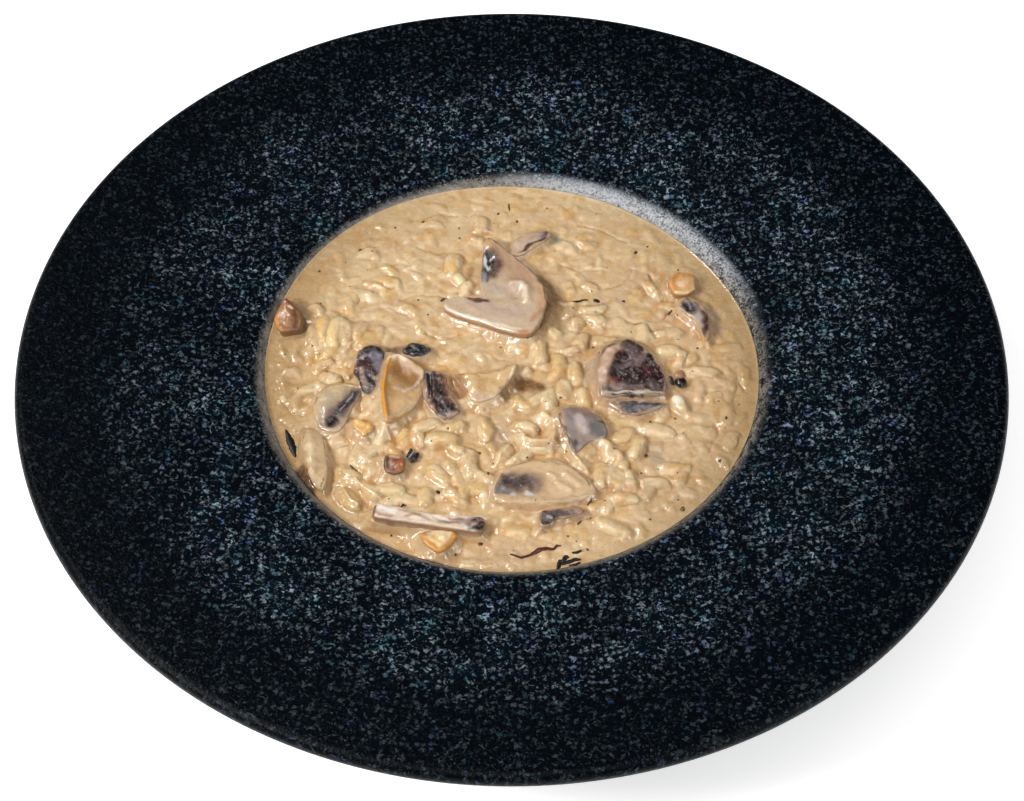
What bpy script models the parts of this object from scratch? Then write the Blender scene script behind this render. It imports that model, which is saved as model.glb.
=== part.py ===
"""Creamy mushroom risotto served in a wide-rimmed stoneware plate.

Metres, +Z up. The origin is on the table, under the middle of the plate. -Y is the near side.
The plate and the risotto are turned about Z. Every slice, cube and nugget on the risotto is a
pillow-edged slab, sunk into a pocket that is cut out of the risotto around it.
"""

import math
from collections import namedtuple

import bmesh
import bpy
from mathutils import Euler, Matrix, Vector

MM = 0.001

# Plate
PLATE_RADIUS = 0.140
RIM_THICKNESS = 0.0050
RIM_SLOPE = math.radians(7.0)
SHOULDER_RADIUS = 0.0726
SHOULDER_HEIGHT = 0.0392
SHOULDER_ROUNDING = 0.0060
LIP_ROUNDING = 0.0024
WELL_WALL_ANGLE = math.radians(57.0)
WELL_WALL_THICKNESS = 0.0052
WELL_FLOOR = 0.0095
WELL_CORNER_ROUNDING = 0.0200
UNDERSIDE_HEIGHT = 0.0035
UNDERSIDE_ROUNDING = 0.0220
UNDER_SHOULDER_ROUNDING = 0.0060
FOOT_OUTER_RADIUS = 0.0450
FOOT_INNER_RADIUS = 0.0400
FOOT_ROUNDING = 0.0008
FOOT_RECESS = 0.0028
PLATE_SEGMENTS = 56

# Risotto
SAUCE_LEVEL = 0.0366
CROWN = 0.0010
TOP_RINGS = 9
RISOTTO_SEGMENTS = 44
WAVE_HEIGHT = 0.00035
WAVE_LENGTH = 0.014
FIT_GAP = 0.0003
POCKET_GAP = 0.0004

# Pieces: the share of the outline and of the half thickness, from the belt in to the middle.
LARGE_STEPS = ((1.0, 0.45), (0.86, 0.95), (0.45, 1.0))
SMALL_STEPS = ((1.0, 0.4), (0.8, 1.0))
SMALL_SAMPLES = 14

# Soft mounds of rice on the risotto: x, y, height and spread, in mm.
MOUNDS = (
    (-20, -24, 1.6, 8), (8, -24, 1.7, 8), (-38, -40, 1.2, 8), (29, -38, 1.5, 8),
    (-52, 12, 1.6, 7), (-17, 36, 1.0, 5), (27, 22, 1.0, 7), (42, 11, 1.3, 7),
    (14, 8, 1.3, 6), (-34, -6, 1.2, 9), (36, -6, 1.2, 9), (-2, 18, 1.0, 11),
    (50, -20, 0.7, 8), (-10, 2, 0.9, 7), (34, -52, 0.9, 5), (-52, -22, 0.9, 7),
)

Piece = namedtuple("Piece", "outline thick place turn bow samples kind under")


def mushroom_pieces():
    """Every separate piece on the risotto, by name. Lengths in mm, angles in degrees.

    outline: points round the piece, seen from above. place: its middle. turn: rotation about X,
    Y and Z. bow: how far its ends along x and y rise above its middle. under: the pieces that
    lie over it and press into it.
    """
    return {
        "slice_large": Piece(
            [(-7.8, 25.6), (-4, 24), (1, 19), (6.5, 12), (9.8, 5), (10.2, -2), (5, -13), (-8.5, -8),
             (-19.5, -1.5), (-17.5, 3), (-9.5, 3), (-9.4, 10)],
            2.4, (0, 21, 40.1), (-4, -4, 0), (0.4, 0.6), 24, "flesh", ()),
        "slice_back": Piece(
            [(-6.6, -3.4), (-4, 2), (2, 4.4), (5.6, 4.4), (6.2, 2.6), (3, -0.5), (-3, -4.7)],
            2.4, (5.6, 46.6, 38.1), (3, -4, 0), (-0.5, 0), 14, "flesh", ()),
        "slice_crescent": Piece(
            [(-5, 2.5), (-2.5, 6.2), (2.5, 2.5), (4.2, -5), (2.8, -11), (0.5, -4.5), (-2.5, -1)],
            2.4, (53.5, 19.5, 38.0), (0, -5, 0), (0, -0.4), 14, "flesh", ()),
        "dice_right": Piece(
            [(-4, -0.4), (-3.4, 1.8), (-1, 4), (3, 3.7), (4, 1), (3.7, -2), (0.8, -4), (-2.6, -3.8)],
            4.4, (50, 30.2, 37.7), (7, 6, 0), (0, 0), 12, "skin", ()),
        "dice_left": Piece(
            [(-3.6, -0.8), (-2.6, 2.6), (-0.4, 5.6), (0.8, 5.4), (3.4, 2.2), (4.4, -1), (3.8, -4),
             (0.6, -5.4), (-2.4, -4.6)],
            6.0, (-64.7, 16.8, 38.4), (12, -16, 0), (0, 0), 12, "skin", ()),
        "cap_dark": Piece(
            [(-9.9, -3.9), (-9.6, 3), (-7.6, 7.8), (-3.5, 10.4), (0.5, 10.8), (4, 8), (6.3, 4.4),
             (9.4, -0.6), (9.9, -4), (8.4, -7.8), (0, -9), (-8.5, -9.2)],
            3.4, (34.2, -4, 39.9), (5, 4, 0), (-0.7, -0.9), 20, "gills", ()),
        "cap_fold": Piece(
            [(-8, 1.4), (0, 1.8), (8, 1.2), (4.5, -1.6), (-0.5, -3.2), (-5.5, -1.4)],
            2.0, (35.6, -15.5, 38.0), (6, 0, 0), (-0.4, 0), 12, "gills", ("cap_dark",)),
        "slice_fan": Piece(
            [(-7, 1.4), (-5.5, 4.7), (0, 5.3), (5.5, 2), (6.6, -3.6), (2, -5.8), (-2.4, -9.5),
             (-4.8, -4)],
            2.0, (19.9, -23, 39.6), (6, 7, 0), (0.3, -0.6), 14, "skin", ()),
        "cap_left": Piece(
            [(-4.4, 1), (-3, 6.8), (1, 8.6), (4, 6), (4, 0), (2.2, -8), (-1.2, -8.6), (-3, -4.5)],
            3.4, (-40.5, -2.8, 39.5), (0, -6, 0), (-0.6, -0.6), 14, "gills", ("slice_curled",)),
        "scrap_left": Piece(
            [(-2.9, -0.6), (-1.6, 2), (1, 2.9), (3.4, 1.6), (4.9, 0.4), (3.2, -1.6), (-0.8, -2)],
            2.2, (-28.1, 4.2, 39.0), (0, 4, 0), (0.3, 0), 12, "gills", ("slice_curled",)),
        "slice_curled": Piece(
            [(-5.4, 8.2), (-2.4, 9.5), (1.6, 7.6), (5.2, 4.6), (5.4, -2), (3.2, -8), (-0.8, -12.6),
             (-5, -15.2), (-6.8, -9), (-7, -2)],
            2.0, (-30.2, -7.9, 39.3), (0, 12, 0), (0.5, 0.3), 18, "flesh", ()),
        "scrap_gilled": Piece(
            [(-4.6, 7.4), (-0.4, 7.1), (2.6, 4.9), (3.2, 0.5), (5.2, -4), (6.6, -8), (2.5, -9.8),
             (-1, -7.4), (-3.4, -3.5), (-4.6, 2)],
            2.2, (-21, -10.2, 38.4), (0, -4, 0), (0, -0.3), 14, "gills", ("slice_curled",)),
        "slice_petal": Piece(
            [(-11, 3.8), (-6.5, 4.1), (-1, 4.2), (4.4, 6), (6.3, 6.4), (4.6, 0.4), (0.6, -4.4),
             (-3.8, -6.4), (-7, -5.2), (-8.4, -2)],
            2.0, (-4.7, -8.3, 39.4), (0, -7, 0), (0.5, -0.3), 16, "flesh", ()),
        "slice_pale": Piece(
            [(-7, 2.9), (-3.8, 8.2), (2, 9.2), (6.6, 6.4), (4.4, -0.7), (2, -6.4), (-1, -8.4),
             (-5.4, -6)],
            2.2, (-49, -16.6, 38.2), (0, -5, 0), (0, -0.5), 16, "flesh", ()),
        "slice_low": Piece(
            [(-15.6, -2.9), (-13, 3), (-6, 6.4), (3, 6), (10, 1.6), (13.2, -3.6), (7, -7),
             (-4, -7.6), (-13.4, -6.6)],
            2.4, (10, -42, 38.4), (5, 0, 0), (-0.8, -0.3), 18, "flesh", ()),
        "scrap_low": Piece(
            [(-5.4, 1.2), (0, 2.7), (5.5, 2.8), (5.6, 0.4), (-1, -1.7), (-5.2, -3.4)],
            2.2, (13.2, -53.4, 37.4), (0, 0, 0), (0.2, 0), 12, "gills", ()),
        "strip": Piece(
            [(-15.2, 0.4), (-14.6, 2.3), (-8, 2.5), (8, 2.3), (13, 2.5), (15.3, 1.6), (15.1, -1.2),
             (13.8, -2.6), (4, -2.3), (-12, -2.5), (-14.8, -1.8)],
            3.4, (-22.6, -55.4, 38.2), (-8, 2, -8), (0.5, 0), 18, "flesh", ()),
        "nugget_amber": Piece(
            [(-4.8, 2), (0, 3.2), (4.9, 2), (3.8, -1.4), (0.6, -4.2), (-3, -2)],
            4.0, (-19.8, -61.4, 36.9), (0, 0, 0), (0, 0), 12, "skin", ("strip",)),
        "slice_long": Piece(
            [(-3.6, 9.5), (-0.5, 11.4), (2.6, 8.6), (3.8, 0), (3.4, -7), (1.4, -10.4), (-1.4, -8),
             (-3, -1)],
            3.0, (-54.7, -33.9, 37.5), (0, 0, 6), (-0.5, -1.2), 14, "flesh", ()),
        "dice_brown": Piece(
            [(-3, 1.6), (-1, 3), (2.2, 2.6), (2.9, -1.8), (0.8, -3.5), (-2.7, -2.4)],
            4.0, (-32.5, -36.2, 37.8), (4, 8, 0), (0, 0), 12, "skin", ()),
        "nugget_yellow": Piece(
            [(-3.2, 2.4), (-1.6, 3.1), (2.7, 1.1), (3.2, -0.8), (0.4, -3.3), (-2.6, -0.6)],
            4.0, (-41.6, -23.8, 38.1), (0, 0, 0), (0, 0), 10, "skin", ("slice_pale",)),
    }


def clear_scene():
    for thing in list(bpy.data.objects):
        bpy.data.objects.remove(thing, do_unlink=True)


def paint(name, colour, roughness):
    """A plain non-metal surface of one colour, given as linear red, green and blue."""
    material = bpy.data.materials.new(name)
    material.use_nodes = True
    shader = material.node_tree.nodes["Principled BSDF"]
    shader.inputs["Base Color"].default_value = (*colour, 1.0)
    shader.inputs["Roughness"].default_value = roughness
    shader.inputs["Metallic"].default_value = 0.0
    return material


def add_object(name, bm, material):
    """Turns a bmesh into a named object with smooth round faces."""
    bmesh.ops.recalc_face_normals(bm, faces=bm.faces)
    mesh = bpy.data.meshes.new(name)
    bm.to_mesh(mesh)
    bm.free()
    mesh.shade_smooth()
    mesh.set_sharp_from_angle(angle=math.radians(50))
    if material is not None:
        mesh.materials.append(material)
    thing = bpy.data.objects.new(name, mesh)
    bpy.context.scene.collection.objects.link(thing)
    return thing


def meet(point_a, angle_a, point_b, angle_b):
    """Where two lines cross, each given by a point and its angle from the level."""
    ax, az = math.cos(angle_a), math.sin(angle_a)
    bx, bz = math.cos(angle_b), math.sin(angle_b)
    dx, dz = point_b[0] - point_a[0], point_b[1] - point_a[1]
    along = (dx * bz - dz * bx) / (ax * bz - az * bx)
    return point_a[0] + along * ax, point_a[1] + along * az


def rounded(corners):
    """The line through corners of (radius, height, rounding, steps), each corner an arc."""
    line = []
    for i, (r, z, rounding, steps) in enumerate(corners):
        if rounding == 0:
            line.append((r, z))
            continue
        here = Vector((r, z))
        before = (Vector(corners[i - 1][:2]) - here).normalized()
        after = (Vector(corners[(i + 1) % len(corners)][:2]) - here).normalized()
        half_angle = before.angle(after) / 2
        centre = here + (before + after).normalized() * rounding / math.sin(half_angle)
        start = here + before * rounding / math.tan(half_angle) - centre
        sweep = (math.pi - 2 * half_angle) * (-1 if before.cross(after) < 0 else 1)
        for k in range(steps + 1):
            turned = Matrix.Rotation(-sweep * k / steps, 2) @ start
            line.append(tuple(centre + turned))
    return line


def turn_section(section, segments):
    """Spins an open line that starts and ends on the Z axis into a closed body."""
    bm = bmesh.new()
    verts = [bm.verts.new((r, 0, z)) for r, z in section]
    edges = [bm.edges.new(pair) for pair in zip(verts, verts[1:])]
    bmesh.ops.spin(
        bm, geom=verts + edges, axis=(0, 0, 1), cent=(0, 0, 0), angle=math.tau, steps=segments,
        use_merge=True)
    bmesh.ops.remove_doubles(bm, verts=bm.verts, dist=1e-6)
    return bm


def rim_top(radius):
    """Height of the rim's upper face at a distance from the axis."""
    return SHOULDER_HEIGHT + (radius - SHOULDER_RADIUS) * math.tan(RIM_SLOPE)


def well_wall(height, inset):
    """The radius of the well's straight wall at a height, moved into the well by inset."""
    wall_top = (SHOULDER_RADIUS - inset / math.sin(WELL_WALL_ANGLE), SHOULDER_HEIGHT)
    return meet((0, height), 0, wall_top, WELL_WALL_ANGLE)[0]


def plate_section():
    """Half the plate's section, from the middle of the well out to the lip and back under."""
    lip_top = rim_top(PLATE_RADIUS)
    drop = RIM_THICKNESS / math.cos(RIM_SLOPE)
    outer_wall = (
        SHOULDER_RADIUS + WELL_WALL_THICKNESS * math.sin(WELL_WALL_ANGLE),
        SHOULDER_HEIGHT - WELL_WALL_THICKNESS * math.cos(WELL_WALL_ANGLE))
    under_rim = (PLATE_RADIUS, lip_top - drop)
    under_shoulder = meet(under_rim, RIM_SLOPE, outer_wall, WELL_WALL_ANGLE)
    under_corner = meet((0, UNDERSIDE_HEIGHT), 0, outer_wall, WELL_WALL_ANGLE)
    return rounded([
        (0, WELL_FLOOR, 0, 0),
        (well_wall(WELL_FLOOR, 0), WELL_FLOOR, WELL_CORNER_ROUNDING, 4),
        (SHOULDER_RADIUS, SHOULDER_HEIGHT, SHOULDER_ROUNDING, 4),
        (PLATE_RADIUS, lip_top, LIP_ROUNDING, 3),
        (*under_rim, LIP_ROUNDING, 2),
        (*under_shoulder, UNDER_SHOULDER_ROUNDING, 2),
        (*under_corner, UNDERSIDE_ROUNDING, 3),
        (FOOT_OUTER_RADIUS, UNDERSIDE_HEIGHT, 0, 0),
        (FOOT_OUTER_RADIUS, 0, FOOT_ROUNDING, 1),
        (FOOT_INNER_RADIUS, 0, FOOT_ROUNDING, 1),
        (FOOT_INNER_RADIUS, FOOT_RECESS, 0, 0),
        (0, FOOT_RECESS, 0, 0),
    ])


def make_plate():
    glaze = paint("speckled_navy_glaze", (0.012, 0.017, 0.027), 0.35)
    return add_object("plate", turn_section(plate_section(), PLATE_SEGMENTS), glaze)


def edge_radius():
    """Where the sauce meets the wall of the well, short of it by the gap."""
    return well_wall(SAUCE_LEVEL, FIT_GAP)


def risotto_height(x, y):
    """Height of the risotto's top: a low crown, mounds of rice and a small wave between them."""
    inward = 1 - (math.hypot(x, y) / edge_radius()) ** 2
    if inward <= 0:
        return SAUCE_LEVEL
    mounds = 0
    for mx, my, height, spread in MOUNDS:
        distance = math.hypot(x / MM - mx, y / MM - my)
        mounds += height * MM * math.exp(-((distance / spread) ** 2))
    wave = math.sin(x / WAVE_LENGTH * math.tau + 1.0) * math.cos(y / WAVE_LENGTH * math.tau)
    settled = min(1.0, inward * 4)
    return SAUCE_LEVEL + CROWN * inward + settled * (mounds + WAVE_HEIGHT * wave)


def make_risotto():
    """The rice and sauce as one body that fills the well up to its uneven top."""
    floor = WELL_FLOOR + FIT_GAP
    rim = edge_radius()
    top = [(rim * k / TOP_RINGS, SAUCE_LEVEL, 0, 0) for k in range(TOP_RINGS, -1, -1)]
    section = rounded([
        (0, floor, 0, 0),
        (well_wall(floor, FIT_GAP), floor, WELL_CORNER_ROUNDING, 4),
        *top,
    ])
    bm = turn_section(section, RISOTTO_SEGMENTS)
    for vert in bm.verts:
        if vert.co.z > SAUCE_LEVEL - 1e-6:
            vert.co.z = risotto_height(vert.co.x, vert.co.y)
    cream = paint("creamy_rice", (0.55, 0.40, 0.22), 0.35)
    return add_object("risotto", bm, cream)


def closed_curve(points, count):
    """Evenly numbered points on a smooth closed curve through the given ones."""
    total = len(points)
    line = []
    for k in range(count):
        place = k * total / count
        i = int(place)
        t = place - i
        a, b, c, d = (Vector(points[(i + j) % total]) for j in (-1, 0, 1, 2))
        bend = 2 * b + (c - a) * t + (2 * a - 5 * b + 4 * c - d) * t * t
        line.append((bend + (3 * b - a - 3 * c + d) * t ** 3) / 2)
    return line


def piece_body(piece, grow):
    """A slab with soft edges, bowed along x and y, grown outwards by grow mm on every side."""
    outline = closed_curve(piece.outline, piece.samples)
    half = piece.thick / 2 + grow
    reach_x = max(abs(p.x) for p in outline)
    reach_y = max(abs(p.y) for p in outline)
    steps = LARGE_STEPS if piece.samples > SMALL_SAMPLES else SMALL_STEPS
    bm = bmesh.new()

    def place(point, share, height):
        x, y = point * (1 + grow / point.length) * share
        lift = piece.bow[0] * (x / reach_x) ** 2 + piece.bow[1] * (y / reach_y) ** 2
        return bm.verts.new((x * MM, y * MM, (height * half + lift) * MM))

    loops = [[place(p, share, -level) for p in outline] for share, level in reversed(steps)]
    loops += [[place(p, share, level) for p in outline] for share, level in steps]
    for lower, upper in zip(loops, loops[1:]):
        for k in range(len(outline)):
            nxt = (k + 1) % len(outline)
            bm.faces.new((lower[k], lower[nxt], upper[nxt], upper[k]))
    for loop, side in ((loops[0], -1), (loops[-1], 1)):
        middle = bm.verts.new((0, 0, side * half * MM))
        for k in range(len(outline)):
            bm.faces.new((loop[k], loop[(k + 1) % len(outline)], middle))
    return bm


def set_in_place(thing, piece):
    thing.location = Vector(piece.place) * MM
    thing.rotation_euler = Euler([math.radians(a) for a in piece.turn])


def cut_with(thing, cutter):
    """Leaves a pocket in thing where cutter is."""
    cut = thing.modifiers.new(f"pocket_{cutter.name}", "BOOLEAN")
    cut.operation = "DIFFERENCE"
    cut.solver = "EXACT"
    cut.object = cutter


def make_pieces(risotto):
    finishes = {
        "flesh": paint("cooked_mushroom_flesh", (0.42, 0.29, 0.19), 0.4),
        "gills": paint("dark_mushroom_gills", (0.05, 0.03, 0.03), 0.5),
        "skin": paint("browned_mushroom_skin", (0.35, 0.18, 0.07), 0.4),
    }
    pieces = mushroom_pieces()
    made = {}
    cutters = {}
    for name, piece in pieces.items():
        made[name] = add_object(f"mushroom_{name}", piece_body(piece, 0), finishes[piece.kind])
        cutter = add_object(f"pocket_{name}", piece_body(piece, POCKET_GAP / MM), None)
        cutter.hide_render = True
        cutter.display_type = "WIRE"
        set_in_place(made[name], piece)
        set_in_place(cutter, piece)
        cutters[name] = cutter
        cut_with(risotto, cutter)
    for name, piece in pieces.items():
        for over in piece.under:
            cut_with(made[name], cutters[over])


def main():
    clear_scene()
    make_plate()
    make_pieces(make_risotto())


main()
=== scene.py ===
import math
from collections import namedtuple

import bpy
import numpy as np
from mathutils import Euler, Matrix, Vector


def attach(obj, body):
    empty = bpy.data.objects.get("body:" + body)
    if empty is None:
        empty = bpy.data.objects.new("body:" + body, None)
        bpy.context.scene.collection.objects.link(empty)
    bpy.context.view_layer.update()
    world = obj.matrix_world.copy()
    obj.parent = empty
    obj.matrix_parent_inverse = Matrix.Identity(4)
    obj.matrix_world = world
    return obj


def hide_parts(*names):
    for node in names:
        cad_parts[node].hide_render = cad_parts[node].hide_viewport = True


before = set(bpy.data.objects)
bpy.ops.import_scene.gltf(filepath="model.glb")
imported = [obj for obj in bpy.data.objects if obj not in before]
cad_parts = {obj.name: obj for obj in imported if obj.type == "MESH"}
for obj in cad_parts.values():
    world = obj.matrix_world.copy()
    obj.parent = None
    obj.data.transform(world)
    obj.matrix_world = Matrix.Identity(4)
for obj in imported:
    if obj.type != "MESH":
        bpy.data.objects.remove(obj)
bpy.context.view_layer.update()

MM = 0.001

# Plate, in mm, as the CAD plate.
PLATE_RADIUS = 140.0
RIM_THICKNESS = 5.0
RIM_SLOPE = math.radians(7.0)
SHOULDER_RADIUS = 72.6
SHOULDER_HEIGHT = 39.2
SHOULDER_ROUNDING = 6.0
LIP_ROUNDING = 2.4
WELL_WALL_ANGLE = math.radians(57.0)
WELL_WALL_THICKNESS = 5.2
WELL_FLOOR = 9.5
WELL_CORNER_ROUNDING = 20.0
UNDERSIDE_HEIGHT = 3.5
UNDERSIDE_ROUNDING = 22.0
UNDER_SHOULDER_ROUNDING = 6.0
FOOT_OUTER_RADIUS = 45.0
FOOT_INNER_RADIUS = 40.0
FOOT_ROUNDING = 0.8
FOOT_RECESS = 2.8
PLATE_SEGMENTS = 288

# Risotto, in mm.
SAUCE_LEVEL = 36.1
SAUCE_TILT = 1.1
SAUCE_CROWN = 1.1
SAUCE_OVERLAP = 0.15
SAUCE_RINGS = 166
MENISCUS = 0.5
CELL = 0.25
FIELD_HALF = 74.0
# The gap between the risotto's plain underside and the plate.
SAUCE_GAP = 0.3
# Towards the back, from the first y to the second, the rice lies lower and calmer.
CALM_SIDE = (5, 30)
# Folds and grooves in the sauce, with the scattered ones.
FOLD_COUNT = 120

# Rice, in mm: how many grains, how far out they lie and how far apart, and thickness over width.
GRAIN_COUNT = 640
GRAIN_REACH = 66.5
GRAIN_SPACING = 2.8
GRAIN_FLATNESS = 0.85
# Points round a grain or a crumb, and rings along it.
GRAIN_SHAPE = (12, 12)
CRUMB_SHAPE = (14, 11)
# Specks of pepper besides the ones that stand out.
SCATTERED_SPECKS = 90

# Soft mounds of rice: x, y, height and spread.
MOUNDS = (
    (-20, -24, 1.6, 8), (8, -24, 1.7, 8), (-38, -40, 1.2, 8), (29, -38, 1.5, 8),
    (-52, 12, 1.6, 7), (-17, 36, 1.0, 5), (27, 22, 1.0, 7), (42, 11, 1.3, 7),
    (14, 8, 1.3, 6), (-34, -6, 1.2, 9), (36, -6, 1.2, 9), (-2, 18, 1.0, 11),
    (50, -20, 0.7, 8), (-10, 2, 0.9, 7), (34, -52, 0.9, 5), (-52, -22, 0.9, 7),
)

# Grains of rice that stand out: x, y, heading in degrees, length, how far the top rises above the
# sauce, and a colour where it lies bare.
GRAINS = (
    (-23.5, -22.3, 20, 9, 2.4), (-25.6, -26.2, 100, 8, 2.2), (-19.2, -27.3, -3, 10, 3.0),
    (-15.8, -22.8, 28, 7, 2.2), (-15.4, -30, -40, 6.5, 2.3), (-7.4, -23, 97, 10, 2.2),
    (-29.6, -26, 80, 8.5, 1.8), (-33, -30.3, -55, 7.5, 1.8), (-12, -35, 95, 10.5, 2.3),
    (-20, -38.6, -52, 9.5, 2.2), (-16.2, -37.7, -62, 10.5, 1.7), (-8, -39.3, -25, 8, 2.0),
    (-2.2, -31.5, 70, 8, 1.8), (-28, -17.5, 15, 10, 1.0), (-36.5, -27, 85, 9, 1.6),
    (-39.5, -32, 60, 10, 1.5), (-48.5, -27, 10, 8, 1.6), (-42.5, -30.5, 80, 10, 1.3),
    (-38.3, -36, 60, 8, 1.7), (-43.3, -40, -48, 9.5, 1.8), (-46.5, -38.5, 100, 8, 1.6),
    (-44.5, -46, -50, 11, 2.0), (-38.5, -43.5, -50, 9, 1.9), (-41, -14, 88, 8, 1.8),
    (-38.5, -15, 80, 6, 1.4), (-34, -43.4, -6, 10, 2.3), (-28.5, -46.8, -15, 9, 1.8),
    (-23.8, -46, 70, 8.5, 2.1), (-32.5, -47.3, 25, 8, 1.9), (-15.2, -45.8, -50, 9, 2.2),
    (-13, -43.5, 70, 8, 1.9), (-9.5, -43.3, -15, 8, 1.8), (-14, -52, 0, 8, 0.8),
    (-25, -51, 5, 9, 0.7), (-11.5, -67.3, 0, 7, 0.7), (-6.5, -67.8, 10, 6, 0.7),
    (-3.3, -66, -20, 6, 0.6), (0.5, -68, 30, 6, 0.5), (31, -47.6, 12, 8.5, 2.2),
    (26.7, -48.3, 65, 7, 1.5), (27.8, -56, -28, 12, 1.9), (23.5, -49, 20, 6, 1.2),
    (19.5, -44.8, 28, 10, 1.9), (17.5, -47.6, 12, 9, 1.3), (1.5, -57, -15, 9, 1.0),
    (37, -44, 70, 9, 1.2), (7.8, 5, 92, 10.8, 2.6), (13.3, -0.3, 83, 10.5, 2.3),
    (18.3, -3, 97, 9.5, 2.1), (14.8, -8.8, 75, 8.5, 2.1), (16.6, 5.7, 10, 6.5, 1.4),
    (12, 12.2, -25, 6.5, 1.4), (20.3, 9.3, 75, 7, 1.6), (19.3, 16.2, 60, 6, 1.4),
    (24.5, 18, -25, 8, 1.8), (2.5, -3.2, 20, 8, 1.7), (2.7, 6.2, 0, 5, 1.3),
    (-0.2, 6.8, 80, 4.6, 1.3), (27, 10, 0, 8, 0.8), (30, 17, 0, 8, 0.6), (8, -12.5, 20, 9, 1.3),
    (3, -14, -30, 8.5, 1.3), (11.3, -13.5, 90, 11, 2.0), (20.5, -12.3, 95, 8.8, 2.4),
    (4.2, -22.8, -18, 7.6, 2.4), (9.3, -20.8, -32, 8, 2.3), (11.6, -26, -86, 9, 2.4),
    (7, -29.6, -6, 9.5, 2.4), (2.3, -27, -65, 5.5, 1.7), (2.5, -33, 42, 8.5, 1.9),
    (20.8, -30.5, 58, 7.5, 2.0), (24, -27.8, -12, 7.6, 2.3), (26.8, -31.5, -70, 8.5, 2.1),
    (30, -34.3, -72, 7.5, 2.1), (35, -29.3, 70, 9, 2.5), (31, -25.3, 32, 9, 1.5),
    (24.7, -39.5, 87, 9.5, 2.4), (27.7, -39.6, 92, 8, 1.9), (30, -40.6, 95, 7.5, 1.6),
    (32.7, -40.5, 100, 8, 1.9), (18.6, -34.3, -52, 8.5, 1.5), (41, -23.5, -14, 12, 1.8, "d9bf9c"),
    (47.5, -14.2, -58, 6.6, 2.8, "efe3d0"), (42.5, -17.6, 70, 6.5, 1.5), (60.5, -17.2, 78, 10, 1.0),
    (61.5, -26, 60, 8, 1.0), (45.5, -36.2, -5, 11, 1.4), (39.5, -41.3, 0, 8, 1.5),
    (46.5, -39.6, 60, 6.5, 1.1), (59, -34, -60, 7, 0.6), (52, -18, 0, 8, 0.6),
    (54.5, -1.8, -3, 10.5, 1.7), (45.3, 5.2, -6, 9.5, 1.8), (48.4, 2.8, 68, 6, 1.6),
    (51.5, 3.2, 33, 5.5, 1.3), (46, 12.5, 18, 9, 1.1), (38, 13, 80, 9, 1.1),
    (53.5, -8.8, 75, 8, 1.0), (57.8, -11, 42, 7, 0.9), (62, -8, 82, 9, 0.8),
    (66.5, -2, 86, 8, 0.6), (63, 8, 10, 8, 0.5), (63.5, 2, 20, 7, 0.5), (-16.5, 2, 0, 9, 0.9),
    (-12, -12, 58, 9, 1.7), (-8.5, -13.6, 80, 7.5, 1.5), (-15.5, -14.5, 20, 8, 1.3),
    (-56.5, 21.3, -50, 6.5, 1.4), (-54, 13.5, 88, 12, 1.7, "dcb472"),
    (-50.6, 12.5, 81, 13.5, 2.1, "e2c48e"),
    (-57.4, 11.5, 96, 9.5, 1.3), (-47.8, 12, 92, 11, 1.5), (-44.4, 12.6, 76, 10, 1.1),
    (-53.8, 0.9, 32, 6.5, 1.5), (-52.3, 5.6, 40, 6.5, 1.4), (-42, 9.2, 52, 9, 1.3),
    (-39.3, 11.5, 62, 8, 1.1), (-57.2, -8.2, 12, 9, 1.6), (-54, -8, -62, 6.5, 1.5),
    (-51.4, -4.6, -18, 8, 1.7), (-63, -1.2, -18, 6.5, 0.9), (-60.5, -12, 80, 9, 0.9),
    (-64.6, -8, 85, 9, 0.6), (-42.6, 43, -8, 8, 1.3), (-36.4, 36.8, -42, 7.5, 1.0),
    (-36, 32, -28, 9, 1.2), (-42.6, 26.8, -22, 10, 1.2), (-38.5, 29.5, -45, 7, 0.9),
    (-47, 24, 76, 11, 1.2), (-17, 38.7, 86, 10.5, 2.0, "e0b468"), (-15.8, 33.2, -52, 7, 1.5, "ecd6aa"),
    (-13.1, 29.3, 70, 7, 1.5), (-28.8, 38.3, 40, 7, 0.6), (-30, 21, -34, 10, 0.7),
    (24, 21.5, 8, 8.5, 1.7), (17, 21.2, 72, 8.5, 1.3), (23.7, 30.3, -42, 7, 0.9),
    (16.3, 46.6, -28, 9, 0.7), (22.4, 48.2, -12, 7.5, 0.8), (36.6, 28, 82, 9, 0.7),
    (42.2, 29.5, -58, 11, 0.9), (39.8, 42, 86, 9, 0.5), (45, 41, 88, 9, 0.6),
    (50.5, 38.5, -20, 8, 0.5), (-24, 55, 0, 7.5, 0.9), (-9.3, 54.5, 84, 10, 1.5),
    (-10, 48.6, -28, 8, 1.2), (22, 51.4, -5, 7, 0.4), (18.5, 61.5, 35, 7, 0.3),
)

Piece = namedtuple("Piece", "outline thick place turn bow slot base edge wet strokes relief covers",
                   defaults=((),))

# Colours of the pieces, as sRGB hex.
FLESH = "c8b095"
BLACK = "1b1416"
MAROON = "3a1c1a"
MAUVE = "96827c"
SLATE = "8d8990"
BROWN = "6b3f25"
DARK_BROWN = "3b2216"
AMBER = "c98f3d"
CREAM = "ead8bd"


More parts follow.
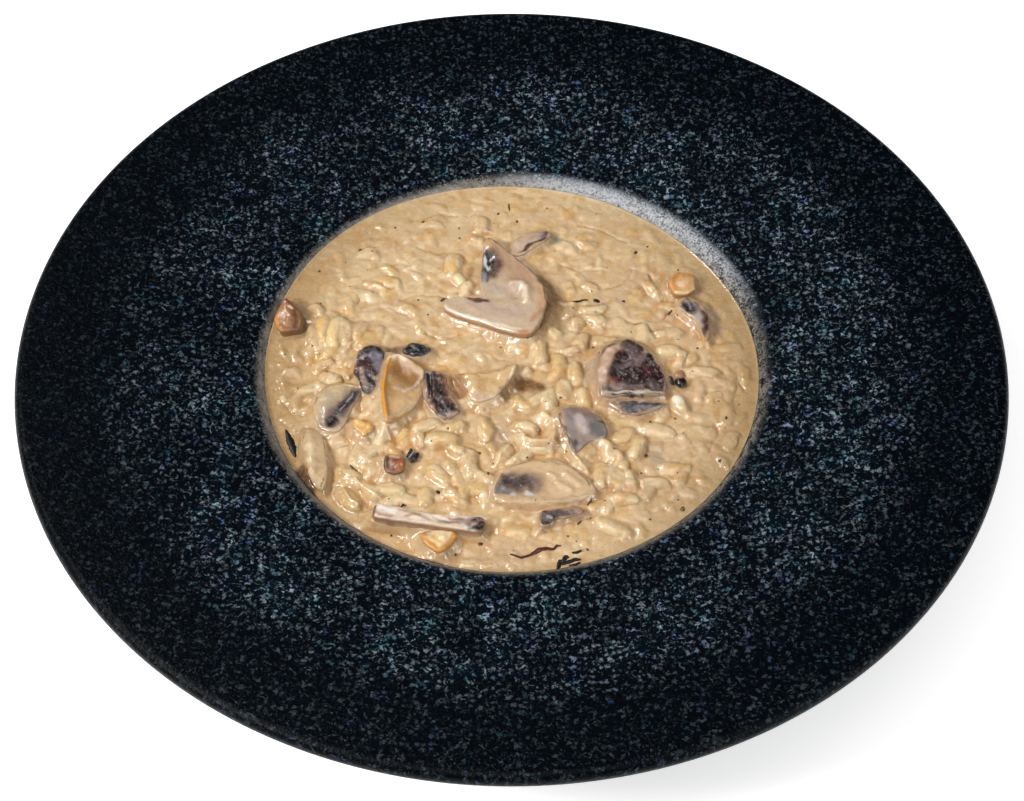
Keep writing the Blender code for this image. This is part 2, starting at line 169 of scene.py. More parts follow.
def mushroom_pieces():
    """Every separate piece on the risotto, by name. Lengths in mm, angles in degrees.

    outline, thick, place, turn and bow are as in the CAD. slot: its finish. base and edge: the
    colours of its face and its side. wet: the share of its thickness up to which sauce climbs.
    strokes: (colour, width, strength, points) brushed on its top, the first ones lowest. Some are painted
    highlights, marked where they stand.
    relief: (height, width, points) raised from its top. covers: (width, points) of the sauce that
    has run over it.
    """
    return {
        "slice_large": Piece(
            [(-7.8, 25.6), (-4, 24), (1, 19), (6.5, 12), (9.8, 5), (10.2, -2), (5, -13), (-8.5, -8),
             (-19.5, -1.5), (-17.5, 3), (-9.5, 3), (-9.4, 10)],
            2.4, (0, 21, 40.1), (-4, -4, 0), (0.4, 0.6), "mushroom_flesh", FLESH, "a5805f", 0.05,
            (("b08c72", 6, 0.8, ((-3, 22), (2, 15), (5, 9))),
             ("c6aca2", 3, 0.5, ((2, -4), (-5, -4), (-12, 0))),
             ("c2926a", 1.2, 0.7, ((8.6, 6), (9.2, 1), (8, -5))),
             ("4e302c", 2.3, 0.9, ((-6, 19.4), (-5, 16), (-5.8, 12))),
             ("c9a070", 0.9, 0.8, ((-7, 23.6), (-6, 22.6))),
             (BLACK, 1.6, 1, ((-7.5, 19.8), (-6.8, 16.8), (-7.8, 13.2))),
             ("a39c96", 2.2, 0.45, ((-7, 8), (-5, 5.4), (-2.6, 5.4))),
             (BLACK, 0.3, 0.7, ((-9.2, 13), (-9.1, 9.4))),
             (SLATE, 1.3, 0.95, ((-8.2, 12.4), (-7.8, 9.4))),
             ("4a3c3a", 0.5, 0.7, ((-6.8, 11.6), (-7.4, 8.6))),
             # Painted highlight: a white glint down the left edge.
             ("e6e6e8", 0.5, 0.95, ((-8.4, 18.6), (-7.8, 15.6), (-6.8, 14.4))),
             (BLACK, 0.35, 0.6, ((-9.2, 18), (-9.2, 13))),
             ("5c3430", 0.9, 0.95, ((-12.4, 2.6), (-9.8, 1.2), (-7.6, 1.2))),
             # Painted highlight: a cream C along the raised ridge.
             ("e8d8c2", 1.1, 0.8, ((0.2, 7.6), (2.4, 7.6), (4, 5), (4.2, 1))),
             ("a8705a", 0.6, 0.7, ((1.2, 2),)),
             ("b8743c", 0.9, 0.8, ((5, -12.6), (3, -12.7))), ("b9794a", 0.8, 0.6, ((7, -5), (6, -8))),
             ("6b4632", 0.35, 0.8, ((-9.4, 21), (-7.6, 25.6), (-4, 24), (1, 19.2), (6.6, 12.2), (9.8, 5),
               (10, -2))),
             # Painted highlight: a white line along the lower-left rim.
             ("f4e8da", 0.5, 0.6, ((-19.2, -0.5), (-17, -3.2), (-9, -7.2), (2, -11.6)))),
            ((0.8, 1.4, ((0.2, 7.2), (2.8, 7.6), (4.6, 5), (4.6, 0.6))), (-0.9, 1.8, ((1.2, 3.2),)),
             (1.6, 4, ((-6, 24),)), (0.4, 4, ((-10, -3), (0, -7))), (-0.5, 2.5, ((-5, 2),)),
             (-0.7, 1.3, ((-6.8, 18), (-6.6, 14))))),
        "slice_back": Piece(
            [(-6.6, -3.4), (-4, 2), (2, 4.4), (5.6, 4.4), (6.2, 2.6), (3, -0.5), (-3, -4.7)],
            2.4, (5.6, 46.6, 38.1), (3, -4, 0), (-0.5, 0), "mushroom_flesh", "c0a593", "4a332e",
            0.9,
            ((DARK_BROWN, 0.7, 0.95, ((4.6, 1.4), (2, 0), (0, -1), (-2, -3.6), (-5, -4.8))),
             (BLACK, 1.1, 0.9, ((5.2, 3.6), (4.2, 2.2))), ("6b4c42", 0.4, 0.8, ((-4, 2), (0, 4), (5, 4.4))),
             (MAUVE, 2, 0.6, ((0, 3), (3, 3)))),
            (), ((1.8, ((-7.4, -3.4), (-6.4, -0.6))),)),
        "slice_crescent": Piece(
            [(-5, 2.5), (-2.5, 6.2), (2.5, 2.5), (4.2, -5), (2.8, -11), (0.5, -4.5), (-2.5, -1)],
            2.4, (53.5, 19.5, 38.0), (0, -5, 0), (0, -0.4), "mushroom_flesh", "b3a69e", "4a302a",
            0.85,
            (("3a3038", 2.3, 0.95, ((-2.8, 4), (-2, 2.2), (-1.4, 0.4))),
             (BLACK, 0.6, 0.9, ((-3.4, 4), (-2.8, 1.8), (-2.2, 0))),
             (SLATE, 0.35, 0.8, ((-2.2, 4.6), (-1.6, 2), (-1.4, 0.6))),
             ("48241e", 1.9, 1, ((2.4, 2), (3.7, -2), (3.7, -6), (2.8, -10.6))),
             (DARK_BROWN, 0.9, 0.95, ((-5, 3), (-2.6, 5.8), (1.5, 3.4), (3, 1)))),
            (), ((1.2, ((-5.6, 2), (-4, -0.4))),)),
        "dice_right": Piece(
            [(-4, -0.4), (-3.8, 1.4), (-1.9, 3.6), (-0.6, 4), (2.9, 3.7), (3.8, 2.8), (4, -1.2),
             (3.5, -2.2), (1.6, -3.8), (0.4, -4), (-2.2, -4), (-3, -3.2)],
            4.4, (50, 30.2, 37.7), (7, 6, 0), (0, 0), "mushroom_skin", "cca072", "b0854e", 0.5,
            (("c27f34", 0.9, 0.9, ((-3.4, 0.5), (-1.3, 3.2), (3, 2.9))),
             ("c98a44", 1.1, 0.8, ((-3, -0.6), (-2.4, -3))),
             ("e2c8ac", 1.2, 0.8, ((-0.6, -1),)),
             # Painted highlight along the lower edge.
             ("ecd29a", 0.5, 0.85, ((-2, -3.5), (1, -3.5), (3.2, -2)))),
            ((0.5, 2.2, ((1.6, 0.6),)),)),
        "dice_left": Piece(
            [(-3.6, -0.8), (-2.6, 2.6), (-0.4, 5.6), (0.8, 5.4), (3.4, 2.2), (4.4, -1), (3.8, -4),
             (0.6, -5.4), (-2.4, -4.6)],
            6.0, (-64.7, 16.8, 38.4), (12, -16, 0), (0, 0), "mushroom_skin", "96683f", "7a5434",
            0.45,
            (("b5743c", 1.8, 0.8, ((-3, 2), (-3.6, -1))), (AMBER, 0.9, 0.7, ((-3.6, -1), (-2.5, -4.2))),
             ("7a4430", 1.2, 0.95, ((-0.4, 5.2), (0.6, 5.4))),
             ("7a5638", 2.2, 0.9, ((3, 2), (3.8, -1), (3.2, -4))),
             ("6b4634", 0.4, 0.8, ((0.8, 5), (2.2, 2.6), (2.6, -0.4), (2.8, -4.6))),
             # Painted highlight on the ridge.
             ("ecd0b4", 0.4, 0.8, ((1.2, 3.2), (1.8, 2.2)))),
            ((-1.8, 2.6, ((4.2, 3), (5, -1), (4.2, -4.4))), (0.3, 1.6, ((0, 4), (1.8, 0))))),
        "cap_dark": Piece(
            [(-9.9, -3.9), (-9.6, 3), (-7.6, 7.8), (-3.5, 10.4), (0.5, 10.8), (4, 8), (6.3, 4.4),
             (9.4, -0.6), (9.9, -4), (8.4, -7.8), (0, -9), (-8.5, -9.2)],
            3.4, (34.2, -4, 39.9), (5, 4, 0), (-0.7, -0.9), "mushroom_gills", "2b1416", "a08a74",
            0.85,
            (("cbab93", 3.0, 1, ((-10.6, -5.6), (-9.6, 1), (-7, 6.8), (-4.8, 9.6))),
             ("5a3a30", 0.4, 0.9, ((-9.4, 4), (-7.4, 7.2), (-5, 9), (-2.6, 10))),
             ("3a2220", 1.6, 0.8, ((-2, 9), (0.4, 9.8), (3, 7))),
             ("6d5c59", 2.0, 0.7, ((0, 7), (1, 3.6))),
             ("7d6c69", 1.8, 0.55, ((-4, -7), (0, -5.6), (2, -6.4))),
             ("75635f", 1.5, 0.5, ((5, -5), (7, -5.8))),
             ("7d6c69", 1.1, 0.7, ((-3.6, 0.6), (-1, 1.4))),
             ("1e0c0c", 1.1, 1, ((-3.8, 4.6), (-1.6, 4))), ("1e0c0c", 0.9, 1, ((-5.4, 0.6), (-4.6, -0.8))),
             ("120a0c", 0.7, 1, ((-3.2, -1.2), (-1.4, -1.6))), ("1e0c0c", 1.1, 1, ((2, 2.6), (3.4, -0.6))),
             ("240a0c", 1.3, 1, ((5.6, 0.4), (6.6, -1.6), (8.6, -3))),
             ("1e0c0c", 0.7, 0.9, ((0.6, -2.4), (2, -3))),
             ("120c10", 0.6, 1, ((-8.6, -6.4), (-9.2, -8.6))),
             ("a5683e", 0.7, 0.6, ((-7.2, -3.8), (-6.2, -5))),
             ("7d3022", 0.6, 0.85, ((-5, -3.4), (-4.6, -6.2))),
             ("8a7470", 1.2, 0.6, ((3.4, 5.4), (1.6, 2))), ("4a1418", 0.8, 0.9, ((3.8, 0.6), (4.6, -1.2))),
             ("4a1418", 0.7, 0.85, ((-3.2, 5.6), (-4.2, 4))),
             ("978680", 0.9, 0.5, ((-5.6, -5.4), (-3.6, -6))),
             ("240a0c", 0.9, 0.9, ((-1.6, -4.2), (1.6, -4.8))),
             ("240a0c", 0.8, 0.8, ((3.2, -5.6), (4.4, -7))),
             ("c4b6a4", 0.35, 0.9, ((-9, -8.2), (0, -8), (8, -7)))),
            ((0.5, 2, ((-7.6, -4), (-5.6, 5))), (-0.5, 1.6, ((-2.6, 2),)), (0.4, 1.4, ((1, -5), (6, -5)))),
            ((1.2, ((-10.6, -9.6), (-10.4, -5))),)),
        "cap_fold": Piece(
            [(-8, 1.4), (0, 1.8), (8, 1.2), (4.5, -1.6), (-0.5, -3.2), (-5.5, -1.4)],
            2.0, (35.6, -15.5, 38.0), (6, 0, 0), (-0.4, 0), "mushroom_gills", "4a4346", "4a3c3e",
            0.95,
            ((BLACK, 0.7, 0.9, ((-2.6, 0.4), (-3.4, -0.8))),
             (BLACK, 0.7, 0.9, ((1, 0.8), (4, 0.8), (7.6, 0.9))),
             ("8f9094", 0.9, 0.6, ((0, -0.6), (3, -0.4))), ("9ea5ab", 0.3, 0.7, ((2.4, -1.6), (6.6, 0.2)))),
            (), ((1.9, ((-8.6, 1), (-6.6, -1.4))),)),
        "slice_fan": Piece(
            [(-7, 1.4), (-5.5, 4.7), (0, 5.3), (5.5, 2), (6.6, -3.6), (2, -5.8), (-2.4, -9.5),
             (-4.8, -4)],
            2.0, (19.9, -23, 39.6), (6, 7, 0), (0.3, -0.6), "mushroom_skin", "8f827e", "6b5348",
            0.74,
            (("7d6a5c", 1.6, 0.85, ((-2, 4.2), (3, 3.4), (6, 0))),
             # c4b4b2 is a painted highlight over the middle.
             ("c4b4b2", 1.7, 0.75, ((-1.4, 1.4), (0, -2))), ("5f5d60", 2, 0.75, ((3.4, -1), (5, -3))),
             ("c09a80", 1.3, 0.9, ((-6.4, 2), (-5.6, -0.6))),
             ("4c4440", 1.1, 0.9, ((-2.2, -6.6), (-2.6, -9))),
             (DARK_BROWN, 0.35, 0.9, ((-7, 2.5), (-6.8, 0.6), (-4.8, -3.6), (-2.8, -8.6))),
             (BLACK, 0.45, 0.9, ((4.6, 0.9), (6.6, 0.3)))),
            ((0.5, 2.2, ((0, 1),)),), ((1.1, ((7.6, -4.4), (6.8, -6))),)),
        "cap_left": Piece(
            [(-4.4, 1), (-3, 6.8), (1, 8.6), (4, 6), (4, 0), (2.2, -8), (-1.2, -8.6), (-3, -4.5)],
            3.4, (-40.5, -2.8, 39.5), (0, -6, 0), (-0.6, -0.6), "mushroom_gills", "3a2b2c",
            "231a1c", 0.75,
            ((BLACK, 1.8, 1, ((-3.4, 4.4), (-1.6, 6.8), (1, 7.8), (4, 6))),
             # 857f8a is a painted sheen on the right, and b0a8b0 a painted highlight on the left edge.
             ("857f8a", 1.7, 0.85, ((1.8, 4.4), (2.6, 2), (3.4, -1))),
             ("b0a8b0", 0.5, 0.8, ((-3.9, 4), (-4.2, 1.6))),
             (MAROON, 1.0, 0.9, ((-1.6, 2.4), (0.4, -1.6), (1.6, -5))),
             ("a08a80", 1.0, 0.7, ((-2.2, -1), (-1.4, -4.6), (-0.4, -7.6))),
             (BLACK, 0.4, 0.9, ((-0.6, -2), (0.2, -4), (0.6, -6))),
             (BLACK, 0.5, 0.95, ((-4, 0.6), (-2.8, -4.6), (-0.8, -8.4))),
             ("8a4420", 0.5, 0.9, ((-4.3, 1), (-3.8, -0.8)))),
            ((-0.6, 1.3, ((2.2, 3.4),)),), ((1.3, ((4.8, 2), (4, -3), (3, -7))),)),
        "scrap_left": Piece(
            [(-2.9, -0.6), (-1.6, 2), (1, 2.9), (3.4, 1.6), (4.9, 0.4), (3.2, -1.6), (-0.8, -2)],
            2.2, (-28.1, 4.2, 39.0), (0, 4, 0), (0.3, 0), "mushroom_gills", "1d1b1d", "141214", 0.6,
            # Painted highlight: grey glints on the black.
            (("5f6264", 0.4, 0.8, ((-1, 1), (0.6, 0.4))),),
            ((0.4, 0.8, ((0, 1),)),)),
        "slice_curled": Piece(
            [(-5.4, 8.2), (-2.4, 9.5), (1.6, 7.6), (5.2, 4.6), (5.4, -2), (3.2, -8), (-0.8, -12.6),
             (-5, -15.2), (-6.8, -9), (-7, -2)],
            2.0, (-30.2, -7.9, 39.3), (0, 12, 0), (0.5, 0.3), "mushroom_flesh", "b8905f",
            "d9a24e", 0.7,
            ((CREAM, 1.1, 1, ((-5.2, 7.4), (-2.6, 8.8), (0.6, 7.6))),
             ("94693f", 2.6, 0.9, ((-2.4, 4), (2.4, 1.6))),
             # c9a98e is a painted highlight strip.
             ("c9a98e", 1.0, 0.75, ((-1, 6), (2, 5), (4.6, 3.6))),
             ("c8b0a4", 0.6, 0.9, ((-3, -2.6), (0, -3.2), (2.4, -1.6), (4.6, 2.4))),
             ("d6b286", 3.6, 0.95, ((-2, -10), (0.6, -7), (3.6, -5))),
             ("d9952f", 0.75, 1, ((-5, 6.4), (-6.4, 0), (-6.6, -5), (-6.2, -10), (-5, -14)))),
            ((1.0, 1.1, ((-5, 7.2), (-2.4, 8.6), (1.6, 6.8), (4.6, 4.4))),
             (0.6, 0.6, ((-3, -2.8), (0, -3.4), (2.4, -1.8), (4.8, 2.2))),
             (-0.8, 2.2, ((-1, 2.4), (1.6, 0.4))),
             (0.6, 0.7, ((-5.8, 6), (-6.6, -4), (-5.2, -13)))),
            ((3.4, ((-2, -15), (2.2, -11.4), (5.2, -7.4), (6.8, -3), (7, 0))),)),
        "scrap_gilled": Piece(
            [(-4.6, 7.4), (-0.4, 7.1), (2.6, 4.9), (3.2, 0.5), (5.2, -4), (6.6, -8), (2.5, -9.8),
             (-1, -7.4), (-3.4, -3.5), (-4.6, 2)],
            2.2, (-21, -10.2, 38.4), (0, -4, 0), (0, -0.3), "mushroom_gills", "33211d",
            "2c1e1e", 0.9,
            (("754a34", 2.0, 0.95, ((2.6, 5), (3.6, 1), (5, -3))),
             ("b08a6c", 0.8, 0.8, ((3.6, 4), (5, -1))),
             ("1a0e0e", 0.7, 0.9, ((-2.4, 6.4), (-2, 2), (-1.4, -3))),
             ("1a0e0e", 0.5, 0.85, ((0, 5), (0.2, 0), (1.6, -4))),
             ("1f1313", 1.3, 0.9, ((0, -5), (4, -7.4))),
             ("5f4a46", 0.4, 0.8, ((-1.2, 5.6), (-0.8, 1), (0.4, -4))),
             ("a8a09e", 0.9, 0.9, ((-4, 6.8), (-2.6, 6.6))),
             ("86747a", 1.2, 0.85, ((-4.4, 4), (-3.8, 0), (-2.8, -3.6))),
             ("85797a", 0.7, 0.6, ((1.2, -9), (4.8, -8.6)))),
            ((0.7, 0.6, ((-3.2, 6.4), (-2.8, 0))), (0.7, 0.6, ((-1.4, 6), (-0.8, -2))),
             (-0.7, 0.6, ((-2.2, 5), (-2, -2)))),
            ((1.8, ((5.2, 5.6), (6.2, 0.6), (7.4, -3.4))), (1.0, ((-5.8, 3), (-4.8, -3), (-3, -6.4))))),
        "slice_petal": Piece(
            [(-11, 3.8), (-6.5, 4.1), (-1, 4.2), (4.4, 6), (6.3, 6.4), (4.6, 0.4), (0.6, -4.4),
             (-3.8, -6.4), (-7, -5.2), (-8.4, -2)],
            2.0, (-4.7, -8.3, 39.4), (0, -7, 0), (0.5, -0.3), "mushroom_flesh", "d2b083",
            "e6cda4", 0.85,
            ((CREAM, 0.6, 0.9, ((6, 5), (4.2, 0), (0, -4.4), (-3.6, -6))),
             ("7a4c30", 0.35, 0.9, ((-11, 3.8), (-6.5, 4), (-1, 4), (4, 5.8))),
             ("9a6c48", 1.6, 0.7, ((-10.6, 2.4), (-8.6, -1))), ("b8905f", 1.2, 0.6, ((-3, 1), (-3.6, -2))),
             ("c4a59a", 1.2, 0.7, ((-5, -4.6), (-2.6, -5.2)))),
            ((0.6, 1.6, ((-6.4, 1), (-5, -2))), (-0.5, 1.4, ((0.6, 1),)),
             (0.4, 0.8, ((-8, 3), (-5.4, 2.6)))),
            ((1.5, ((-10, -3), (-8, -6.4))),)),
        "slice_pale": Piece(
            [(-7, 2.9), (-3.8, 8.2), (2, 9.2), (6.6, 6.4), (4.4, -0.7), (2, -6.4), (-1, -8.4),
             (-5.4, -6)],
            2.2, (-49, -16.6, 38.2), (0, -5, 0), (0, -0.5), "mushroom_flesh", "c6b08a", "a08a6c",
            0.78,
            (("b9aa94", 2, 0.6, ((-2, 4), (-3, -2))),
             ("8f7d72", 4.4, 0.7, ((5, 5), (2, 0), (-2, -5))),
             ("6b5a56", 3.0, 0.65, ((5.6, 5), (2.6, 0.6), (-1.6, -4.6))),
             ("5a4a4a", 2.2, 0.6, ((5.2, 4.8), (2.6, 0.8), (-1.2, -4.2))),
             ("2c2428", 1.7, 0.9, ((4.8, 4.2), (3.4, 2.2), (1.8, 1))),
             ("2c2428", 1.1, 0.8, ((1.2, 0), (0.2, -2))),
             ("24161a", 1.4, 1, ((-0.9, -4), (-2, -5.4))),
             # Painted highlights: blue-grey glints on the dark stripe.
             ("8a8894", 0.4, 0.8, ((4.2, 4.6), (2.6, 2))), ("8a8894", 0.3, 0.7, ((2, 1), (0.8, -1))),
             ("7d725c", 0.35, 0.8, ((-6.8, 2), (-4.6, 7), (-2.5, 8.6)))),
            ((0.5, 1.6, ((-3, 4), (-3.4, -2))),),
            ((2.6, ((-8, 4.4), (-4.6, 9.6), (1, 10.4), (5.6, 9))), (1.4, ((6.6, 1.6), (5, -3.4))))),
        "slice_low": Piece(
            [(-15.6, -2.9), (-13, 3), (-6, 6.4), (3, 6), (10, 1.6), (13.2, -3.6), (7, -7),
             (-4, -7.6), (-13.4, -6.6)],
            2.4, (10, -42, 38.4), (5, 0, 0), (-0.8, -0.3), "mushroom_flesh", "d0b18c", "b4946c",
            0.9,
            (("6f5952", 3.8, 0.9, ((-13, 0.6), (-8, -1), (-4.5, -1.4))),
             ("2c2226", 2.2, 0.85, ((-12, 0.4), (-8.6, -1.6))),
             ("33282c", 1.6, 0.75, ((-6.6, 0.6), (-5.4, -1))),
             ("5d6068", 1.5, 0.85, ((-14, -2.6), (-11, -4.4))),
             # Painted highlights: two bluish-white glints on the dark patch.
             ("c9d4de", 0.8, 0.9, ((-9.8, -5), (-9, -5.2))),
             ("c9d4de", 0.9, 0.9, ((-5.8, -4.6), (-4.8, -4.8))),
             ("7d5f43", 0.35, 0.9, ((-9, 5.2), (-5.5, 6.4), (1, 6.2), (6, 4.6), (9.6, 1.6), (11.5, -1.4)))),
            ((0.5, 1.0, ((3, -1), (6, -3))), (0.5, 1.0, ((5, 2), (8.6, -1))),
             (0.4, 0.8, ((0.6, 2), (2, 1)))),
            ((3.2, ((-17, -5.6), (-9, -7.8), (0, -8.2), (8, -7.6), (13, -5.6))),
             (1.4, ((12, 1), (14.4, -4))))),
        "scrap_low": Piece(
            [(-5.4, 1.2), (-4.6, 1.8), (0, 2.7), (5.5, 2.8), (5.6, 0.6), (-1, -1.2), (-3.4, -3.2),
             (-5.2, -3.4)],
            2.2, (13.2, -53.4, 37.4), (0, 0, 0), (0.2, 0), "mushroom_gills", "5c4d4b", "2c2020",
            0.95,
            ((BLACK, 0.8, 1, ((-5, 1.4), (-4.6, -3))), (BLACK, 0.6, 0.9, ((-3.8, -2.6), (-1.6, -0.6))),
             (BLACK, 0.5, 0.9, ((-4.4, 1.6), (0, 2.4), (2.4, 2.4))),
             ("a8a0a4", 0.6, 0.8, ((-3.2, -0.6), (-2.4, -1))),
             ("8d7468", 1.2, 0.8, ((3, 1.6), (5.4, 1.6)))),
            (), ((1.5, ((6.8, 3.4), (6.6, 0.4))),)),
        "strip": Piece(
            [(-15.2, 0.4), (-14.6, 2.4), (-8, 2.5), (0, 2.1), (8, 2.3), (13, 2.5), (15.3, 1.8),
             (15.1, -1.2), (13.8, -2.7), (6, -2.4), (-4, -2.2), (-12, -2.5), (-14.8, -1.8)],
            3.4, (-22.6, -55.4, 38.2), (-8, 2, -8), (0.5, 0), "mushroom_flesh", "dcc8b4",
            "8f6d58", 0.35,
            (("f6eee4", 1.0, 0.85, ((-13.4, 1), (-9.6, 0.4))),
             ("b9917a", 0.6, 0.8, ((-14, -1), (-10, -1.6))),
             ("c9a894", 0.7, 0.8, ((-8, 1.6), (-4.6, 1.8))),
             ("a57f68", 0.4, 0.85, ((3.6, 1.4), (6.4, 0.4), (9, 1))),
             ("a98668", 0.7, 0.8, ((-6, -0.6), (-3, 0.4), (0, -0.4))),
             ("ecdcca", 1.2, 0.7, ((-1, 0.6), (4, 0.4))), ("8a6f5e", 0.5, 0.8, ((3, -0.8), (8, -0.4))),
             ("8a7370", 1.2, 0.9, ((8.8, 0.8), (11, 0.2))),
             # Painted highlight on the dark right end.
             ("f4ece8", 0.6, 0.9, ((10.4, -1.6), (11.6, -1.2))),
             ("8a7370", 1.0, 0.6, ((11.4, 1.6), (11.6, -2))),
             ("2c1f1e", 1.4, 1, ((13, 1.6), (14.4, 0), (13.4, -1.4))),
             ("7d6a66", 0.4, 0.8, ((13.2, 0.6), (14.4, 1.2))),
             ("5c4236", 0.5, 0.9, ((-15.2, 1.4), (-15, -1.8)))),
            ((0.35, 0.8, ((-7, 0.4), (-2, -0.4))), (-0.4, 0.8, ((11.9, 1.6), (11.9, -1.6))),
             (-0.3, 0.7, ((2, 0.6), (6, 0))))),
        "nugget_amber": Piece(
            [(-4.8, 2), (0, 3.2), (4.9, 2), (3.8, -1.4), (0.6, -4.2), (-3, -2)],
            4.0, (-19.8, -61.4, 36.9), (0, 0, 0), (0, 0), "mushroom_skin", "e3c9a0", "c8923f", 0.75,
            (("c98a2f", 1.1, 1, ((-4.6, 1.8), (-2.8, -1.8), (0.4, -4), (3.6, -1.2), (4.6, 1.8))),
             (BROWN, 0.8, 0.8, ((-5, 2), (-3, 2.8))), ("d9a95c", 0.7, 0.7, ((-1.4, 0.4), (0.4, -1)))),
            ((0.5, 1.2, ((1.4, 0.4),)), (0.4, 0.9, ((-2.4, 0.6),)))),
        "slice_long": Piece(
            [(-3.6, 9.5), (-0.5, 11.4), (2.6, 8.6), (3.8, 0), (3.4, -7), (1.4, -10.4), (-1.4, -8),
             (-3, -1)],
            3.0, (-54.7, -33.9, 37.5), (0, 0, 6), (-0.5, -1.2), "mushroom_flesh", "c9ae88",
            "c2a57c", 0.96,
            (("6b3a1c", 0.8, 0.8, ((-1.6, -8.6), (0.4, -10.6))),
             ("5c3a26", 0.25, 0.8, ((2.6, -7.4), (1.4, -10))),
             # Painted highlight along the ridge.
             ("dcc8a6", 1.4, 0.7, ((-0.6, 4), (-0.6, -2)))),
            ((0.6, 1.4, ((-0.8, 8), (-0.6, -4))),),
            ((2.0, ((-4.6, 6), (-2.6, 11.4), (1.4, 12.2))), (1.5, ((-4, 0), (-2.8, -7))),
             (1.5, ((4.2, 6), (4.6, 0))))),
        "dice_brown": Piece(
            [(-3, 1.6), (-2.6, 2.6), (-1, 3), (2.2, 2.6), (2.9, 1.6), (2.8, -1.8), (0.8, -3.5),
             (-1.8, -3.2), (-2.7, -2)],
            4.0, (-32.5, -36.2, 37.8), (4, 8, 0), (0, 0), "mushroom_skin", "7a4a34", "3a1e12", 0.75,
            ((DARK_BROWN, 0.7, 1, ((-2.8, -1.6), (-2.6, 1.8), (-1, 2.6))),
             ("cfa987", 0.9, 0.9, ((-1.2, 2), (0.6, 2.4))), ("b5652e", 1.0, 0.95, ((1.4, 0), (1.6, -1.6))),
             # f0b98c is a painted glint.
             ("f0b98c", 0.4, 0.9, ((1.8, -0.6),)), ("a88672", 0.6, 0.8, ((-1.2, 0.4), (-1, -2)))),
            ((0.6, 1.2, ((1.2, -0.4),)), (-0.4, 0.8, ((-1.2, -0.8),)))),
        "nugget_yellow": Piece(
            [(-3.2, 2.4), (-1.6, 3.1), (0.4, 2), (2.7, 1.1), (3.2, -0.8), (1.8, -2.2), (0.4, -3.3),
             (-1.2, -1.9), (-2.6, 0)],
            4.0, (-41.6, -23.8, 38.1), (0, 0, 0), (0, 0), "mushroom_skin", "e0a950", "c88a3a", 0.8,
            # f2cb8c and f0c070 are painted highlights on the bumps.
            (("f2cb8c", 0.9, 0.85, ((-1.8, 1.8), (-0.6, 0.4))), (DARK_BROWN, 0.3, 0.8, ((0.8, 2.2),)),
             ("f0c070", 0.6, 0.8, ((1.6, -0.4),))),
            ((0.6, 1.1, ((-1.6, 1.6),)), (0.5, 1.1, ((1.6, -0.4),)))),
    }


def linear(hex_colour):
    """An sRGB hex colour as linear red, green and blue."""
    channels = [int(hex_colour[i:i + 2], 16) / 255 for i in (0, 2, 4)]
    return np.array([c / 12.92 if c <= 0.04045 else ((c + 0.055) / 1.055) ** 2.4 for c in channels])


def rgba(hex_colour):
    return (*linear(hex_colour), 1.0)


# ---------------------------------------------------------------- materials

# Inputs that go by number. Math: 0 to 2 are its values. MapRange: 0 is the value, 1 and 2 the
# range it comes from, 3 and 4 the range it goes to, which is 0 to 1 if it isn't set. Mix: 0 is the
# share, 6 the colour below and 7 the colour above.


def fit(tree, node, settings=None, links=None):
    """Sets a node's properties and inputs, and links its inputs.

    A link comes from an output, or from a node's first output in use.
    """
    for key, value in (settings or {}).items():
        if isinstance(key, str) and hasattr(node, key):
            setattr(node, key, value)
        else:
            node.inputs[key].default_value = value
    for key, source in (links or {}).items():
        if isinstance(source, bpy.types.Node):
            source = next(output for output in source.outputs if output.enabled)
        tree.links.new(source, node.inputs[key])
    return node


def add(tree, kind, settings=None, links=None):
    """Adds a node of a kind, with its settings and links."""
    return fit(tree, tree.nodes.new("ShaderNode" + kind), settings, links)


def new_material(name):
    """An empty material and its node tree, with the shader and the place in mm."""
    material = bpy.data.materials.new(name)
    material.use_nodes = True
    tree = material.node_tree
    tree.nodes.clear()
    shader = add(tree, "BsdfPrincipled")
    add(tree, "OutputMaterial", {}, {"Surface": shader})
    place = add(tree, "TexCoord").outputs["Object"]
    mm = add(tree, "VectorMath", {"operation": "SCALE", "Scale": 1 / MM}, {0: place})
    return material, tree, shader, mm


